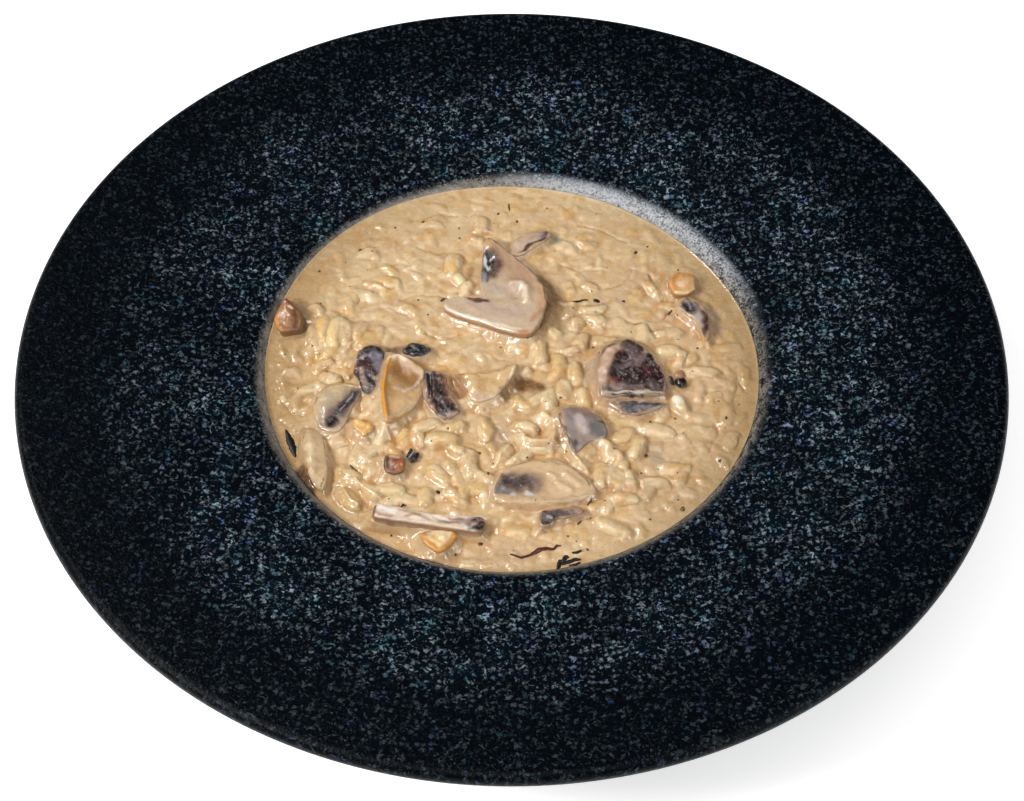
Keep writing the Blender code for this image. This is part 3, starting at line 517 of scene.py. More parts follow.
def crystal_glaze(tree, mm, x, radius):
    """The glaze of the rim: blue-grey crystals on near-black navy."""
    # Clouds of crystals, 20 to 40 mm across, and clumps of about 6 mm in them.
    inner = add(tree, "MapRange", {"interpolation_type": "SMOOTHSTEP", 1: 122.0, 2: 100.0}, {0: radius})
    cloud = add(tree, "TexNoise", {"Scale": 0.04, "Detail": 3.0, "Roughness": 0.6}, {"Vector": mm})
    cloud = add(tree, "MapRange", {1: 0.38, 2: 0.6, 3: 0.3}, {0: cloud})
    clump = add(tree, "TexNoise", {"Scale": 0.17, "Roughness": 0.6}, {"Vector": mm})
    clump = add(tree, "MapRange", {1: 0.36, 2: 0.6, 3: 0.25, 4: 1.15}, {0: clump})
    patchy = add(tree, "Math", {"operation": "MULTIPLY"}, {0: cloud, 1: clump})
    thick = add(tree, "Math", {"operation": "MULTIPLY"}, {0: inner, 1: patchy})
    thick = add(tree, "Math", {"operation": "MULTIPLY_ADD", 1: 0.79, 2: 0.12}, {0: thick})
    # The crystals thin out sooner on the side where the dish was dipped deepest.
    dipped = add(tree, "MapRange", {1: -128.0, 2: -70.0, 3: 0.45}, {0: x})
    thick = add(tree, "Math", {"operation": "MULTIPLY"}, {0: thick, 1: dipped})

    # Crystals 1.7 mm apart with soft, crooked edges, and a fainter sort 1 mm apart between them.
    crook = add(tree, "TexNoise", {"Scale": 1.4, "Detail": 1.0}, {"Vector": mm}).outputs["Color"]
    bent = add(tree, "VectorMath", {"operation": "MULTIPLY_ADD", 1: (1.7, 1.7, 1.7)}, {0: crook, 2: mm})
    sorts = []
    for scale, reach, gain in ((0.58, 0.5, 1.0), (0.95, 0.48, 0.5)):
        cells = add(tree, "TexVoronoi", {"Scale": scale, "Randomness": 0.9}, {"Vector": bent})
        chance = add(tree, "SeparateColor", {}, {0: cells.outputs["Color"]})
        spot = add(tree, "MapRange", {"interpolation_type": "SMOOTHSTEP", 1: reach, 2: 0.08, 4: gain},
                   {0: cells})
        lot = add(tree, "MapRange", {1: 0.25}, {0: chance})
        spot = add(tree, "Math", {"operation": "MULTIPLY"}, {0: spot, 1: lot})
        sorts.append((spot, chance.outputs[1]))
    (large, odd), (small, _) = sorts
    shine = add(tree, "Math", {"operation": "MAXIMUM"}, {0: large, 1: small})
    # Crooked flecks where crystals have grown into each other.
    fleck = add(tree, "TexNoise", {"Scale": 0.66, "Detail": 2.2, "Roughness": 0.7, "Distortion": 0.6},
                {"Vector": mm})
    fleck = add(tree, "MapRange", {1: 0.57, 2: 0.7}, {0: fleck})
    shine = add(tree, "Math", {"operation": "MAXIMUM"}, {0: shine, 1: fleck})
    shine = add(tree, "MapRange", {1: 0.06, 2: 0.85}, {0: shine})
    crystal = add(tree, "Math", {"operation": "MULTIPLY"}, {0: shine, 1: thick})

    hue = add(tree, "TexNoise", {"Scale": 0.12}, {"Vector": mm})
    tint = add(tree, "ValToRGB", {}, {0: hue})
    first, last = tint.color_ramp.elements
    first.position, first.color = 0.38, rgba("6a92a4")
    last.position, last.color = 0.66, rgba("7890ba")
    for position, colour in ((0.46, "98a5ae"), (0.54, "7c9aa9"), (0.6, "9ea5b8")):
        tint.color_ramp.elements.new(position).color = rgba(colour)
    # One crystal in thirty is cobalt blue, and most of those in small nests.
    nest = add(tree, "TexNoise", {"Scale": 0.22, "Detail": 1.0}, {"Vector": mm})
    odd = add(tree, "Math", {"operation": "MULTIPLY_ADD", 1: 0.8}, {0: nest, 2: odd})
    cobalt = add(tree, "MapRange", {1: 1.42, 2: 1.5}, {0: odd})
    tint = add(tree, "Mix", {"data_type": "RGBA", 7: rgba("4a7ccc")}, {0: cobalt, 6: tint})
    ground = add(tree, "Mix", {"data_type": "RGBA", 6: rgba("020407"), 7: rgba("050e17")}, {0: thick})
    return add(tree, "Mix", {"data_type": "RGBA"}, {0: crystal, 6: ground, 7: tint})


def speckled_glaze():
    """Stoneware dipped in a near-black navy glaze, with blue-grey crystals grown as it cooled.

    The crystals lie thick on the middle of the rim and grow sparse towards the lip. On the wall of
    the well they have grown together into a silver-grey grit, drawn out along the wall and painted
    lighter on the side that faces the key light. The surface is pebbled and half gloss, so that a
    light breaks up into sparkles.
    """
    material, tree, shader, mm = new_material("speckled_navy_glaze")
    x, y, z = add(tree, "SeparateXYZ", {}, {0: mm}).outputs
    flat = add(tree, "CombineXYZ", {}, {0: x, 1: y})
    radius = add(tree, "VectorMath", {"operation": "LENGTH"}, {0: flat})
    rim = crystal_glaze(tree, mm, x, radius)

    # The wall's band of grit, 0.7 mm across, ends raggedly, further up on one side than on the other.
    # It stays off the underside.
    grit = add(tree, "TexNoise", {"Scale": 1.4, "Detail": 3.0, "Roughness": 0.7}, {"Vector": mm})
    aside = add(tree, "Math", {"operation": "MULTIPLY_ADD", 1: 1.5}, {0: x, 2: y})
    level = add(tree, "Math", {"operation": "MULTIPLY_ADD", 1: -0.004}, {0: aside, 2: radius})
    ragged = add(tree, "Math", {"operation": "MULTIPLY_ADD", 1: 7.0}, {0: grit, 2: level})
    inside = add(tree, "MapRange", {1: 34.0, 2: 35.5}, {0: z})
    wall = add(tree, "MapRange", {"interpolation_type": "SMOOTHSTEP", 1: 77.9, 2: 75.1},
               {0: ragged, 4: inside})

    # The way round the wall, at half its length, and up it, in mm: a pattern in these is drawn out
    # along the wall.
    angle = add(tree, "Math", {"operation": "ARCTAN2"}, {0: y, 1: x})
    arc = add(tree, "Math", {"operation": "MULTIPLY", 1: 34.0}, {0: angle})
    rise = add(tree, "Math", {"operation": "MULTIPLY", 1: 1.3}, {0: z})
    run = add(tree, "CombineXYZ", {}, {0: arc, 1: rise})
    streak = add(tree, "TexNoise", {"Scale": 0.6, "Roughness": 0.6}, {"Vector": run})
    mottle = add(tree, "Math", {"operation": "MULTIPLY_ADD", 1: 0.6}, {0: streak, 2: grit})
    # Painted light: the grit is painted silver and dense on the side of the wall that faces the key light,
    # and sparse across from it.
    across = add(tree, "Math", {"operation": "MULTIPLY_ADD", 1: 0.7}, {0: x, 2: y})
    painted_lit_side = add(tree, "MapRange", {"interpolation_type": "SMOOTHSTEP", 1: 66.0, 2: 88.0}, {0: across})
    side_grit_and_painted_light = add(tree, "MapRange", {2: 65.0, 3: 0.1, 4: -0.06}, {0: x})
    side_grit_and_painted_light = add(tree, "Math", {"operation": "MULTIPLY_ADD", 1: 0.1}, {0: painted_lit_side, 2: side_grit_and_painted_light})
    mottle = add(tree, "Math", {"operation": "ADD"}, {0: mottle, 1: side_grit_and_painted_light})
    gritty = add(tree, "MapRange", {1: 0.64, 2: 1.02}, {0: mottle})
    silver = add(tree, "Mix", {"data_type": "RGBA", 6: rgba("a39d95"), 7: rgba("b8babf")}, {0: painted_lit_side})
    band = add(tree, "Mix", {"data_type": "RGBA", 6: rgba("17191b")}, {0: gritty, 7: silver})
    colour = add(tree, "Mix", {"data_type": "RGBA"}, {0: wall, 6: rim, 7: band})

    # Painted highlight: where the band turns over the shoulder on the lit side, the colour is painted nearly
    # white.
    painted_edge_shading = add(tree, "Math", {"operation": "MULTIPLY", 1: 0.65}, {0: painted_lit_side})
    for start, full in ((79.2, 77.6), (74.8, 76.6)):
        part = add(tree, "MapRange", {"interpolation_type": "SMOOTHSTEP", 1: start, 2: full}, {0: ragged})
        painted_edge_shading = add(tree, "Math", {"operation": "MULTIPLY"}, {0: painted_edge_shading, 1: part})
    broken = add(tree, "MapRange", {1: 0.44, 2: 0.6, 3: 0.1}, {0: grit})
    painted_edge_shading = add(tree, "Math", {"operation": "MULTIPLY"}, {0: painted_edge_shading, 1: broken})
    colour = add(tree, "Mix", {"data_type": "RGBA", 7: rgba("cdd3dc")}, {0: painted_edge_shading, 6: colour})

    # Pebbling about 0.8 mm across, drawn coarser than the real 0.4 mm so that it shows.
    pebble = add(tree, "TexNoise", {"Scale": 1.3, "Roughness": 0.6}, {"Vector": mm})
    bump = add(tree, "Bump", {"Strength": 0.8, "Distance": 0.3 * MM}, {"Height": pebble})
    gloss = add(tree, "MapRange", {1: 0.3, 2: 0.7, 3: 0.24, 4: 0.38}, {0: grit})
    fit(tree, shader, {"IOR": 1.5, "Specular IOR Level": 0.06},
        {"Base Color": colour, "Normal": bump, "Roughness": gloss})
    return material


def wet_and_soft(tree, shader, bumps, depth, glow, wet=0.7):
    """A film of butter and broth over something soft that lets light a little way in.

    bumps and depth: the small unevenness and how deep it is, in mm. The film evens out half
    of it. glow: how much of the light goes in. wet: how whole the film is.
    """
    for strength, socket in ((0.6, "Normal"), (0.35, "Coat Normal")):
        bump = add(tree, "Bump", {"Strength": strength, "Distance": depth * MM}, {"Height": bumps})
        fit(tree, shader, {}, {socket: bump})
    fit(tree, shader, {
        "IOR": 1.45, "Coat Weight": wet, "Coat Roughness": 0.12, "Coat IOR": 1.5, "Subsurface Weight": glow,
        "Subsurface Radius": (1.0, 0.62, 0.35), "Subsurface Scale": 1.4 * MM})


def risotto_sauce():
    """Cream and rice starch cooked to a thick sauce: satin, with a little light inside it."""
    material, tree, shader, mm = new_material("cream_sauce")
    tone = add(tree, "VertexColor", {"layer_name": "tone"})
    blotch = add(tree, "TexNoise", {"Scale": 0.35, "Detail": 3.0, "Roughness": 0.6}, {"Vector": mm})
    fine = add(tree, "TexNoise", {"Scale": 2.2, "Roughness": 0.6}, {"Vector": mm})
    warm = add(tree, "MapRange", {1: 0.4, 2: 0.75, 4: 0.3}, {0: blotch})
    colour = add(tree, "Mix", {"data_type": "RGBA", 7: rgba("bc9868")}, {0: warm, 6: tone})
    pale = add(tree, "MapRange", {1: 0.5, 2: 0.75, 4: 0.25}, {0: fine})
    colour = add(tree, "Mix", {"data_type": "RGBA", 7: rgba("d9c199")}, {0: pale, 6: colour})
    # Ground pepper, 0.3 mm, about one speck to 10 square mm.
    dots = add(tree, "TexVoronoi", {"Scale": 0.4}, {"Vector": mm})
    pepper = add(tree, "MapRange", {1: 0.055, 2: 0.085, 3: 0.75, 4: 0.0}, {0: dots})
    colour = add(tree, "Mix", {"data_type": "RGBA", 7: rgba("6b5638")}, {0: pepper, 6: colour})
    rough = add(tree, "MapRange", {1: 0.3, 2: 0.7, 3: 0.2, 4: 0.34}, {0: blotch})
    fit(tree, shader, {}, {"Base Color": colour, "Roughness": rough})
    grain = add(tree, "TexNoise", {"Scale": 0.7, "Roughness": 0.55}, {"Vector": mm})
    wet_and_soft(tree, shader, grain, 0.3, 0.4, 0.5)
    return material


def cooked_rice():
    """Round-grain rice boiled soft: plump, ivory, wet with sauce, and a little see-through."""
    material, tree, shader, mm = new_material("cooked_rice_grain")
    tone = add(tree, "VertexColor", {"layer_name": "tone"})
    cloud = add(tree, "TexNoise", {"Scale": 0.8}, {"Vector": mm})
    chalk = add(tree, "MapRange", {1: 0.45, 2: 0.7, 4: 0.35}, {0: cloud})
    colour = add(tree, "Mix", {"data_type": "RGBA", 7: rgba("e2cba2")}, {0: chalk, 6: tone})
    rough = add(tree, "MapRange", {1: 0.3, 2: 0.7, 3: 0.2, 4: 0.4}, {0: cloud})
    fit(tree, shader, {}, {"Base Color": colour, "Roughness": rough})
    wet_and_soft(tree, shader, cloud, 0.3, 0.5)
    return material


def mushroom_finish(name, smoothest, roughest, crinkle, mottle, glow, wet=0.7):
    """Button mushroom fried and simmered in cream. Where it is dark, it is mottled and crinkled.

    crinkle: depth of the crinkles in mm. mottle: the colour of the film on its dark parts.
    """
    material, tree, shader, mm = new_material(name)
    tone = add(tree, "VertexColor", {"layer_name": "tone"})
    light = add(tree, "RGBToBW", {}, {0: tone})
    dark = add(tree, "MapRange", {1: 0.02, 2: 0.2, 3: 1.0, 4: 0.0}, {0: light})
    # Crinkles 1 to 2 mm apart, fibres 0.5 mm.
    crease = add(tree, "TexNoise", {"Scale": 0.75, "Detail": 3.0, "Roughness": 0.7, "Distortion": 0.8},
                 {"Vector": mm})
    fibre = add(tree, "TexNoise", {"Scale": 1.8, "Detail": 3.0, "Roughness": 0.6}, {"Vector": mm})
    frost = add(tree, "Math", {"operation": "MULTIPLY_ADD", 1: 0.45}, {0: fibre, 2: crease})
    film = add(tree, "MapRange", {1: 0.76, 2: 0.98, 4: 0.8}, {0: frost})
    film = add(tree, "Math", {"operation": "MULTIPLY"}, {0: film, 1: dark})
    colour = add(tree, "Mix", {"data_type": "RGBA", 7: rgba(mottle)}, {0: film, 6: tone})
    shade = add(tree, "MapRange", {1: 0.3, 2: 0.7, 3: 0.94, 4: 1.06}, {0: fibre})
    colour = add(tree, "Mix", {"data_type": "RGBA", "blend_type": "MULTIPLY", 0: 1.0}, {6: colour, 7: shade})
    rough = add(tree, "MapRange", {1: 0.3, 2: 0.7, 3: smoothest, 4: roughest}, {0: crease})
    fit(tree, shader, {}, {"Base Color": colour, "Roughness": rough})
    firm = add(tree, "MapRange", {3: 0.35}, {0: dark})
    height = add(tree, "Math", {"operation": "MULTIPLY"}, {0: crease, 1: firm})
    wet_and_soft(tree, shader, height, crinkle, glow, wet)
    return material


def herb_flake():
    """Dried herbs and cracked pepper softened in the sauce: near black, dull."""
    material, tree, shader, mm = new_material("dark_herb_flake")
    tone = add(tree, "VertexColor", {"layer_name": "tone"})
    spots = add(tree, "TexNoise", {"Scale": 1.6}, {"Vector": mm})
    shade = add(tree, "MapRange", {1: 0.3, 2: 0.7, 3: 0.6, 4: 1.5}, {0: spots})
    colour = add(tree, "Mix", {"data_type": "RGBA", "blend_type": "MULTIPLY", 0: 1.0}, {6: tone, 7: shade})
    bump = add(tree, "Bump", {"Strength": 0.5, "Distance": 0.1 * MM}, {"Height": spots})
    fit(tree, shader, {"Roughness": 0.38, "IOR": 1.45}, {"Base Color": colour, "Normal": bump})
    return material


def white_table():
    """A sheet of opal acrylic lit softly from below, so that hardly a shadow shows on it."""
    material, tree, shader, mm = new_material("opal_acrylic_table")
    cloud = add(tree, "TexNoise", {"Scale": 0.02}, {"Vector": mm})
    tint = add(tree, "Mix", {"data_type": "RGBA", 6: rgba("fafafa"), 7: rgba("ffffff")}, {0: cloud})
    glow = {"Emission Color": rgba("ffffff"), "Emission Strength": 0.6}
    fit(tree, shader, {"Roughness": 0.6, "Specular IOR Level": 0.2, **glow}, {"Base Color": tint})
    return material


# ---------------------------------------------------------------- shapes and colours

LATTICE_SIDE = 256
LATTICE = np.random.default_rng(11).random((LATTICE_SIDE, LATTICE_SIDE)) * 2 - 1


def ripple(x, y, size, seed=0):
    """Smooth random values between -1 and 1, with a hill or hollow about every size mm.

    Each seed looks at another part of the lattice.
    """
    u = np.asarray(x) / size + 64 + 7.31 * seed
    v = np.asarray(y) / size + 64 + 3.77 * seed
    i, j = np.floor(u).astype(int), np.floor(v).astype(int)
    s, t = u - i, v - j
    s, t = s * s * (3 - 2 * s), t * t * (3 - 2 * t)
    i0, i1, j0, j1 = i % LATTICE_SIDE, (i + 1) % LATTICE_SIDE, j % LATTICE_SIDE, (j + 1) % LATTICE_SIDE
    near = LATTICE[i0, j0] * (1 - s) + LATTICE[i1, j0] * s
    far = LATTICE[i0, j1] * (1 - s) + LATTICE[i1, j1] * s
    return near * (1 - t) + far * t


def smooth_step(value, low, high):
    share = np.clip((value - low) / (high - low), 0, 1)
    return share * share * (3 - 2 * share)


def smooth_max(a, b, blend):
    """The higher of two heights, with a fillet of about blend mm where they cross."""
    meet = np.maximum(blend - np.abs(a - b), 0)
    return np.maximum(a, b) + meet * meet / (4 * blend)


def turned(x, y, angle, middle=(0, 0)):
    """Points turned by an angle about the origin, and then moved to a middle."""
    c, s = math.cos(angle), math.sin(angle)
    return middle[0] + x * c - y * s, middle[1] + x * s + y * c


def random_place(rng, reach):
    """A random place within reach of the middle."""
    out, turn = reach * math.sqrt(rng.random()), math.tau * rng.random()
    return out * math.cos(turn), out * math.sin(turn)


def path_distance(x, y, points):
    """Distance from (x, y) to the nearest of the straight runs between points."""
    if len(points) == 1:
        return np.hypot(x - points[0][0], y - points[0][1])
    nearest = np.full(np.shape(x), np.inf)
    for (ax, ay), (bx, by) in zip(points, points[1:]):
        dx, dy = bx - ax, by - ay
        along = np.clip(((x - ax) * dx + (y - ay) * dy) / (dx * dx + dy * dy), 0, 1)
        nearest = np.minimum(nearest, np.hypot(x - ax - along * dx, y - ay - along * dy))
    return nearest


def bell(away, width, power=2):
    """Full height at 0, falling off at width. A power over 2 gives a flatter top."""
    return np.exp(-(away / width) ** power)


def closed_curve(points, count):
    """Evenly numbered points on a smooth closed curve through the given ones."""
    points = np.asarray(points, dtype=float)
    total = len(points)
    place = np.arange(count) * total / count
    i = place.astype(int)
    t = (place - i)[:, None]
    a, b, c, d = (points[(i + j) % total] for j in (-1, 0, 1, 2))
    return (2 * b + (c - a) * t + (2 * a - 5 * b + 4 * c - d) * t ** 2 + (3 * b - a - 3 * c + d) * t ** 3) / 2


def lay_over(tone, colour, share):
    """Colours of points with another colour laid over them, by a share at each point."""
    return tone * (1 - share[..., None]) + colour * share[..., None]


def brush(tone, x, y, strokes):
    """The colours with each stroke brushed over them, fading out at its width."""
    wander_x = x + 0.5 * ripple(x, y, 1.7, 3)
    wander_y = y + 0.5 * ripple(x, y, 1.7, 5)
    dabs = np.clip(1.1 + 0.4 * ripple(x, y, 1.1, 7), 0, 1)
    for colour, width, strength, points in strokes:
        share = strength * (dabs if width > 0.8 else 1)
        share = share * bell(path_distance(wander_x, wander_y, points), width, 4)
        tone = lay_over(tone, linear(colour), share)
    return tone


def mesh_object(name, verts, faces, material, slot, tone=None):
    """A smooth mesh piece from points in mm, with its finish, riding on the one body."""
    verts = np.asarray(verts, dtype=np.float64) * MM
    mesh = bpy.data.meshes.new(name)
    if isinstance(faces, np.ndarray):
        mesh.vertices.add(len(verts))
        mesh.vertices.foreach_set("co", verts.ravel())
        corners = faces.shape[1]
        mesh.loops.add(faces.size)
        mesh.loops.foreach_set("vertex_index", faces.ravel())
        mesh.polygons.add(len(faces))
        mesh.polygons.foreach_set("loop_start", np.arange(0, faces.size, corners))
        mesh.polygons.foreach_set("loop_total", np.full(len(faces), corners))
        mesh.update(calc_edges=True)
    else:
        mesh.from_pydata(verts.tolist(), [], faces)
    mesh.validate()
    mesh.shade_smooth()
    if tone is not None:
        layer = mesh.color_attributes.new("tone", "FLOAT_COLOR", "POINT")
        layer.data.foreach_set("color", np.hstack([tone, np.ones((len(tone), 1))]).ravel())
    mesh.materials.append(material)
    thing = bpy.data.objects.new(name, mesh)
    bpy.context.scene.collection.objects.link(thing)
    if slot:
        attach(thing, "root")
    return thing


class Heap:
    """Many small things gathered into one piece."""

    def __init__(self):
        self.verts, self.faces, self.tones = [], [], []
        self.count = 0

    def lay(self, points, faces, tone):
        """Adds one thing. Its faces are numbered from 0, and its tone is one colour or one a point."""
        self.verts.append(points)
        self.faces.append(faces + self.count)
        self.tones.append(np.broadcast_to(tone, points.shape))
        self.count += len(points)

    def make(self, name, material, slot):
        mesh_object(name, np.concatenate(self.verts), np.concatenate(self.faces), material, slot,
                    np.concatenate(self.tones))


def tube_faces(rings, around, start=0):
    """Quads between rings of around points each, numbered from start."""
    k = np.arange(around)
    faces = []
    for r in range(rings - 1):
        a, b = start + r * around, start + (r + 1) * around
        faces.append(np.stack([a + k, a + (k + 1) % around, b + (k + 1) % around, b + k], axis=1))
    return np.concatenate(faces)


def fan_faces(tip, first, around, outward=True):
    """Triangles from a tip to the ring of around points that starts at first."""
    here = first + np.arange(around)
    following = np.roll(here, -1)
    ring = (here, following) if outward else (following, here)
    return np.stack([np.full(around, tip), *ring], axis=1)


# ---------------------------------------------------------------- plate


def meet(point_a, angle_a, point_b, angle_b):
    """Where two lines cross, each given by a point and its angle from the level."""
    ax, az = math.cos(angle_a), math.sin(angle_a)
    bx, bz = math.cos(angle_b), math.sin(angle_b)
    dx, dz = point_b[0] - point_a[0], point_b[1] - point_a[1]
    along = (dx * bz - dz * bx) / (ax * bz - az * bx)
    return point_a[0] + along * ax, point_a[1] + along * az


def rounded(corners):
    """The line through corners of (radius, height, rounding, steps), each corner an arc."""
    line = []
    for i, (r, z, rounding, steps) in enumerate(corners):
        if rounding == 0:
            line.append((r, z))
            continue
        here = Vector((r, z))
        before = (Vector(corners[i - 1][:2]) - here).normalized()
        after = (Vector(corners[(i + 1) % len(corners)][:2]) - here).normalized()
        half_angle = before.angle(after) / 2
        centre = here + (before + after).normalized() * rounding / math.sin(half_angle)
        start = here + before * rounding / math.tan(half_angle) - centre
        sweep = (math.pi - 2 * half_angle) * (-1 if before.cross(after) < 0 else 1)
        for k in range(steps + 1):
            line.append(tuple(centre + Matrix.Rotation(-sweep * k / steps, 2) @ start))
    return line


def well_wall(height, inset):
    """The radius of the well's straight wall at a height, moved into the well by inset."""
    run = (SHOULDER_HEIGHT - height) / math.tan(WELL_WALL_ANGLE)
    return SHOULDER_RADIUS - inset / math.sin(WELL_WALL_ANGLE) - run


def plate_section():
    """Half the plate's section, from the middle of the well out to the lip and back under."""
    lip_top = SHOULDER_HEIGHT + (PLATE_RADIUS - SHOULDER_RADIUS) * math.tan(RIM_SLOPE)
    outer_wall = (
        SHOULDER_RADIUS + WELL_WALL_THICKNESS * math.sin(WELL_WALL_ANGLE),
        SHOULDER_HEIGHT - WELL_WALL_THICKNESS * math.cos(WELL_WALL_ANGLE))
    under_rim = (PLATE_RADIUS, lip_top - RIM_THICKNESS / math.cos(RIM_SLOPE))
    under_shoulder = meet(under_rim, RIM_SLOPE, outer_wall, WELL_WALL_ANGLE)
    under_corner = meet((0, UNDERSIDE_HEIGHT), 0, outer_wall, WELL_WALL_ANGLE)
    return rounded([
        (0, WELL_FLOOR, 0, 0),
        (well_wall(WELL_FLOOR, 0), WELL_FLOOR, WELL_CORNER_ROUNDING, 10),
        (SHOULDER_RADIUS, SHOULDER_HEIGHT, SHOULDER_ROUNDING, 10),
        (PLATE_RADIUS, lip_top, LIP_ROUNDING, 10),
        (*under_rim, LIP_ROUNDING, 8),
        (*under_shoulder, UNDER_SHOULDER_ROUNDING, 8),
        (*under_corner, UNDERSIDE_ROUNDING, 10),
        (FOOT_OUTER_RADIUS, UNDERSIDE_HEIGHT, 0, 0),
        (FOOT_OUTER_RADIUS, 0, FOOT_ROUNDING, 4),
        (FOOT_INNER_RADIUS, 0, FOOT_ROUNDING, 4),
        (FOOT_INNER_RADIUS, FOOT_RECESS, 0, 0),
        (0, FOOT_RECESS, 0, 0),
    ])


def make_plate():
    """The plate as its section turned round, closed in the middle of the well and of the foot."""
    (_, well_middle), *section, (_, foot_middle) = plate_section()
    turn = np.arange(PLATE_SEGMENTS) * math.tau / PLATE_SEGMENTS
    rings = [np.stack([r * np.cos(turn), r * np.sin(turn), np.full_like(turn, z)], axis=1)
             for r, z in section]
    verts = np.vstack([*rings, (0, 0, well_middle), (0, 0, foot_middle)])
    last = (len(section) - 1) * PLATE_SEGMENTS
    top, foot = len(verts) - 2, len(verts) - 1
    faces = tube_faces(len(section), PLATE_SEGMENTS)[:, ::-1].tolist()
    for k in range(PLATE_SEGMENTS):
        following = (k + 1) % PLATE_SEGMENTS
        faces.append((k, following, top))
        faces.append((last + following, last + k, foot))
    plate = mesh_object("glazed_plate", verts, faces, speckled_glaze(), "speckled_glaze")
    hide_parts("plate")


# ---------------------------------------------------------------- the risotto's height

FIELD_SIDE = int(2 * FIELD_HALF / CELL) + 1
FIELD_AXIS = np.linspace(-FIELD_HALF, FIELD_HALF, FIELD_SIDE)


def sample(field, x, y):
    """The field's value at points in mm, between its cells."""
    u = np.clip((x + FIELD_HALF) / CELL, 0, FIELD_SIDE - 1.001)
    v = np.clip((y + FIELD_HALF) / CELL, 0, FIELD_SIDE - 1.001)
    i, j = u.astype(int), v.astype(int)
    s, t = u - i, v - j
    near = field[i, j] * (1 - s) + field[i + 1, j] * s
    far = field[i, j + 1] * (1 - s) + field[i + 1, j + 1] * s
    return near * (1 - t) + far * t


def window(x, y, reach):
    """The part of the field within reach of a place, and the cells' x and y there."""
    spans = []
    for middle in (x, y):
        low = max(0, int((middle - reach + FIELD_HALF) / CELL))
        high = min(FIELD_SIDE, int((middle + reach + FIELD_HALF) / CELL) + 2)
        spans.append(slice(low, high))
    gx, gy = np.meshgrid(*(FIELD_AXIS[span] for span in spans), indexing="ij")
    return tuple(spans), gx, gy


def soften(field, width):
    """The field blurred by a bell of the given width in mm."""
    reach = int(3 * width / CELL)
    weights = np.exp(-((np.arange(-reach, reach + 1) * CELL / width) ** 2) / 2)
    weights /= weights.sum()
    for axis in (0, 1):
        padded = np.pad(field, [(reach, reach) if a == axis else (0, 0) for a in (0, 1)], mode="edge")
        field = np.apply_along_axis(lambda line: np.convolve(line, weights, "valid"), axis, padded)
    return field


# Where the sauce climbs the wall, or stays low: direction in degrees, height and half spread.
EDGE_RISES = ((140, 1.1, 28), (42, -0.9, 35), (-50, 0.9, 40), (-140, -0.4, 30))


def edge_height(x, y):
    """Height of the sauce where it meets the wall, in the direction of (x, y)."""
    turn = np.arctan2(y, x)
    height = SAUCE_LEVEL + SAUCE_TILT * np.sin(turn) + 0.12 * np.sin(3 * turn + 1) + 0.08 * np.sin(7 * turn)
    for middle, rise, spread in EDGE_RISES:
        height = height + rise * bell((np.degrees(turn) - middle + 180) % 360 - 180, spread)
    return height


def edge_reach(x, y):
    return well_wall(edge_height(x, y), -SAUCE_OVERLAP)


def sauce_base(x, y):
    """The sauce before the rice: its edge on the wall, a low crown, mounds and slow waves."""
    out = np.hypot(x, y)
    reach = edge_reach(x, y)
    share = np.minimum(out / reach, 1)
    height = edge_height(x, y) * share ** 2 + (SAUCE_LEVEL + SAUCE_CROWN) * (1 - share ** 2)
    settled = np.clip(4 * (1 - share ** 2), 0, 1)
    for mx, my, rise, spread in MOUNDS:
        height = height + 0.6 * rise * np.exp(-(((x - mx) ** 2 + (y - my) ** 2) / spread ** 2)) * settled
    height = height + settled * (0.3 * ripple(x, y, 13, 1) + 0.16 * ripple(x + 0.4 * y, 2 * y, 6, 2))
    return height + MENISCUS * np.exp(-np.maximum(reach - out, 0) / MENISCUS)


def grain_rows():
    """The grains that stand out, then low ones scattered where there is room for them."""
    rows = [(x, y, math.radians(heading), 0.97 * length, 0.85 * rise, 0.33 * length + 1.4, *colour)
            for x, y, heading, length, rise, *colour in GRAINS]
    rng = np.random.default_rng(5)
    while len(rows) < GRAIN_COUNT:
        x, y = random_place(rng, GRAIN_REACH)
        heading, length = math.pi * rng.random(), 4.5 + 4.5 * rng.random()
        rise = -0.22 + 0.6 * rng.random() - 0.16 * smooth_step(y, *CALM_SIDE)
        if min(math.hypot(x - row[0], y - row[1]) for row in rows) > GRAIN_SPACING:
            rows.append((x, y, heading, length, rise, 2.6 + 1.4 * rng.random()))
    return rows


def grain_profile(along, across):
    """Height of a grain's top, as a share of half its thickness, sloping away outside it."""
    out = (np.abs(along) ** 3.3 + np.abs(across) ** 2.2) ** 0.45
    brink, brink_height = 0.954, 0.3
    inside = np.sqrt(np.maximum(1 - out ** 2, brink_height ** 2))
    return np.where(out < brink, inside, brink_height - 2.4 * (out - brink))


def knead(x, y):
    """Moves points a little, so that soft grains lie bent and pressed out of shape."""
    slide_x = 0.5 * ripple(x, y, 3.4, 51) + 0.22 * ripple(x, y, 1.3, 55)
    slide_y = 0.5 * ripple(x, y, 3.4, 53) + 0.22 * ripple(x, y, 1.3, 57)
    return x + slide_x, y + slide_y


def lay_grain(field, warmth, x, y, heading, length, rise, width, *colour):
    """Raises the sauce over or round one grain, and lets its own shade, ivory or gold, show."""
    cells, gx, gy = window(x, y, length)
    kx, ky = knead(gx, gy)
    along, across = turned(kx - x, ky - y, -heading)
    along = along / (length / 2)
    curl = math.sin(91 * x + 17 * y)
    across = across / (width / 2) + 0.55 * curl * (along ** 2 - 0.4)
    thick = GRAIN_FLATNESS * width
    bare = 2.0 if colour else smooth_step(rise, 0.9, 2.2)
    film = 0.16 - 0.2 * bare + 0.2 * ripple(gx, gy, 2.2, 77)
    top = sauce_base(x, y) + rise - thick / 2 + thick / 2 * grain_profile(along, across) + film
    field[cells] = smooth_max(field[cells], top, 0.95)
    seen = smooth_step(1.25 - np.hypot(along, across), 0, 0.5) * (0.45 + 0.55 * smooth_step(rise, -0.3, 1.2))
    warmth[cells] = warmth[cells] * (1 - seen) + math.sin(57 * x + 31 * y) * seen


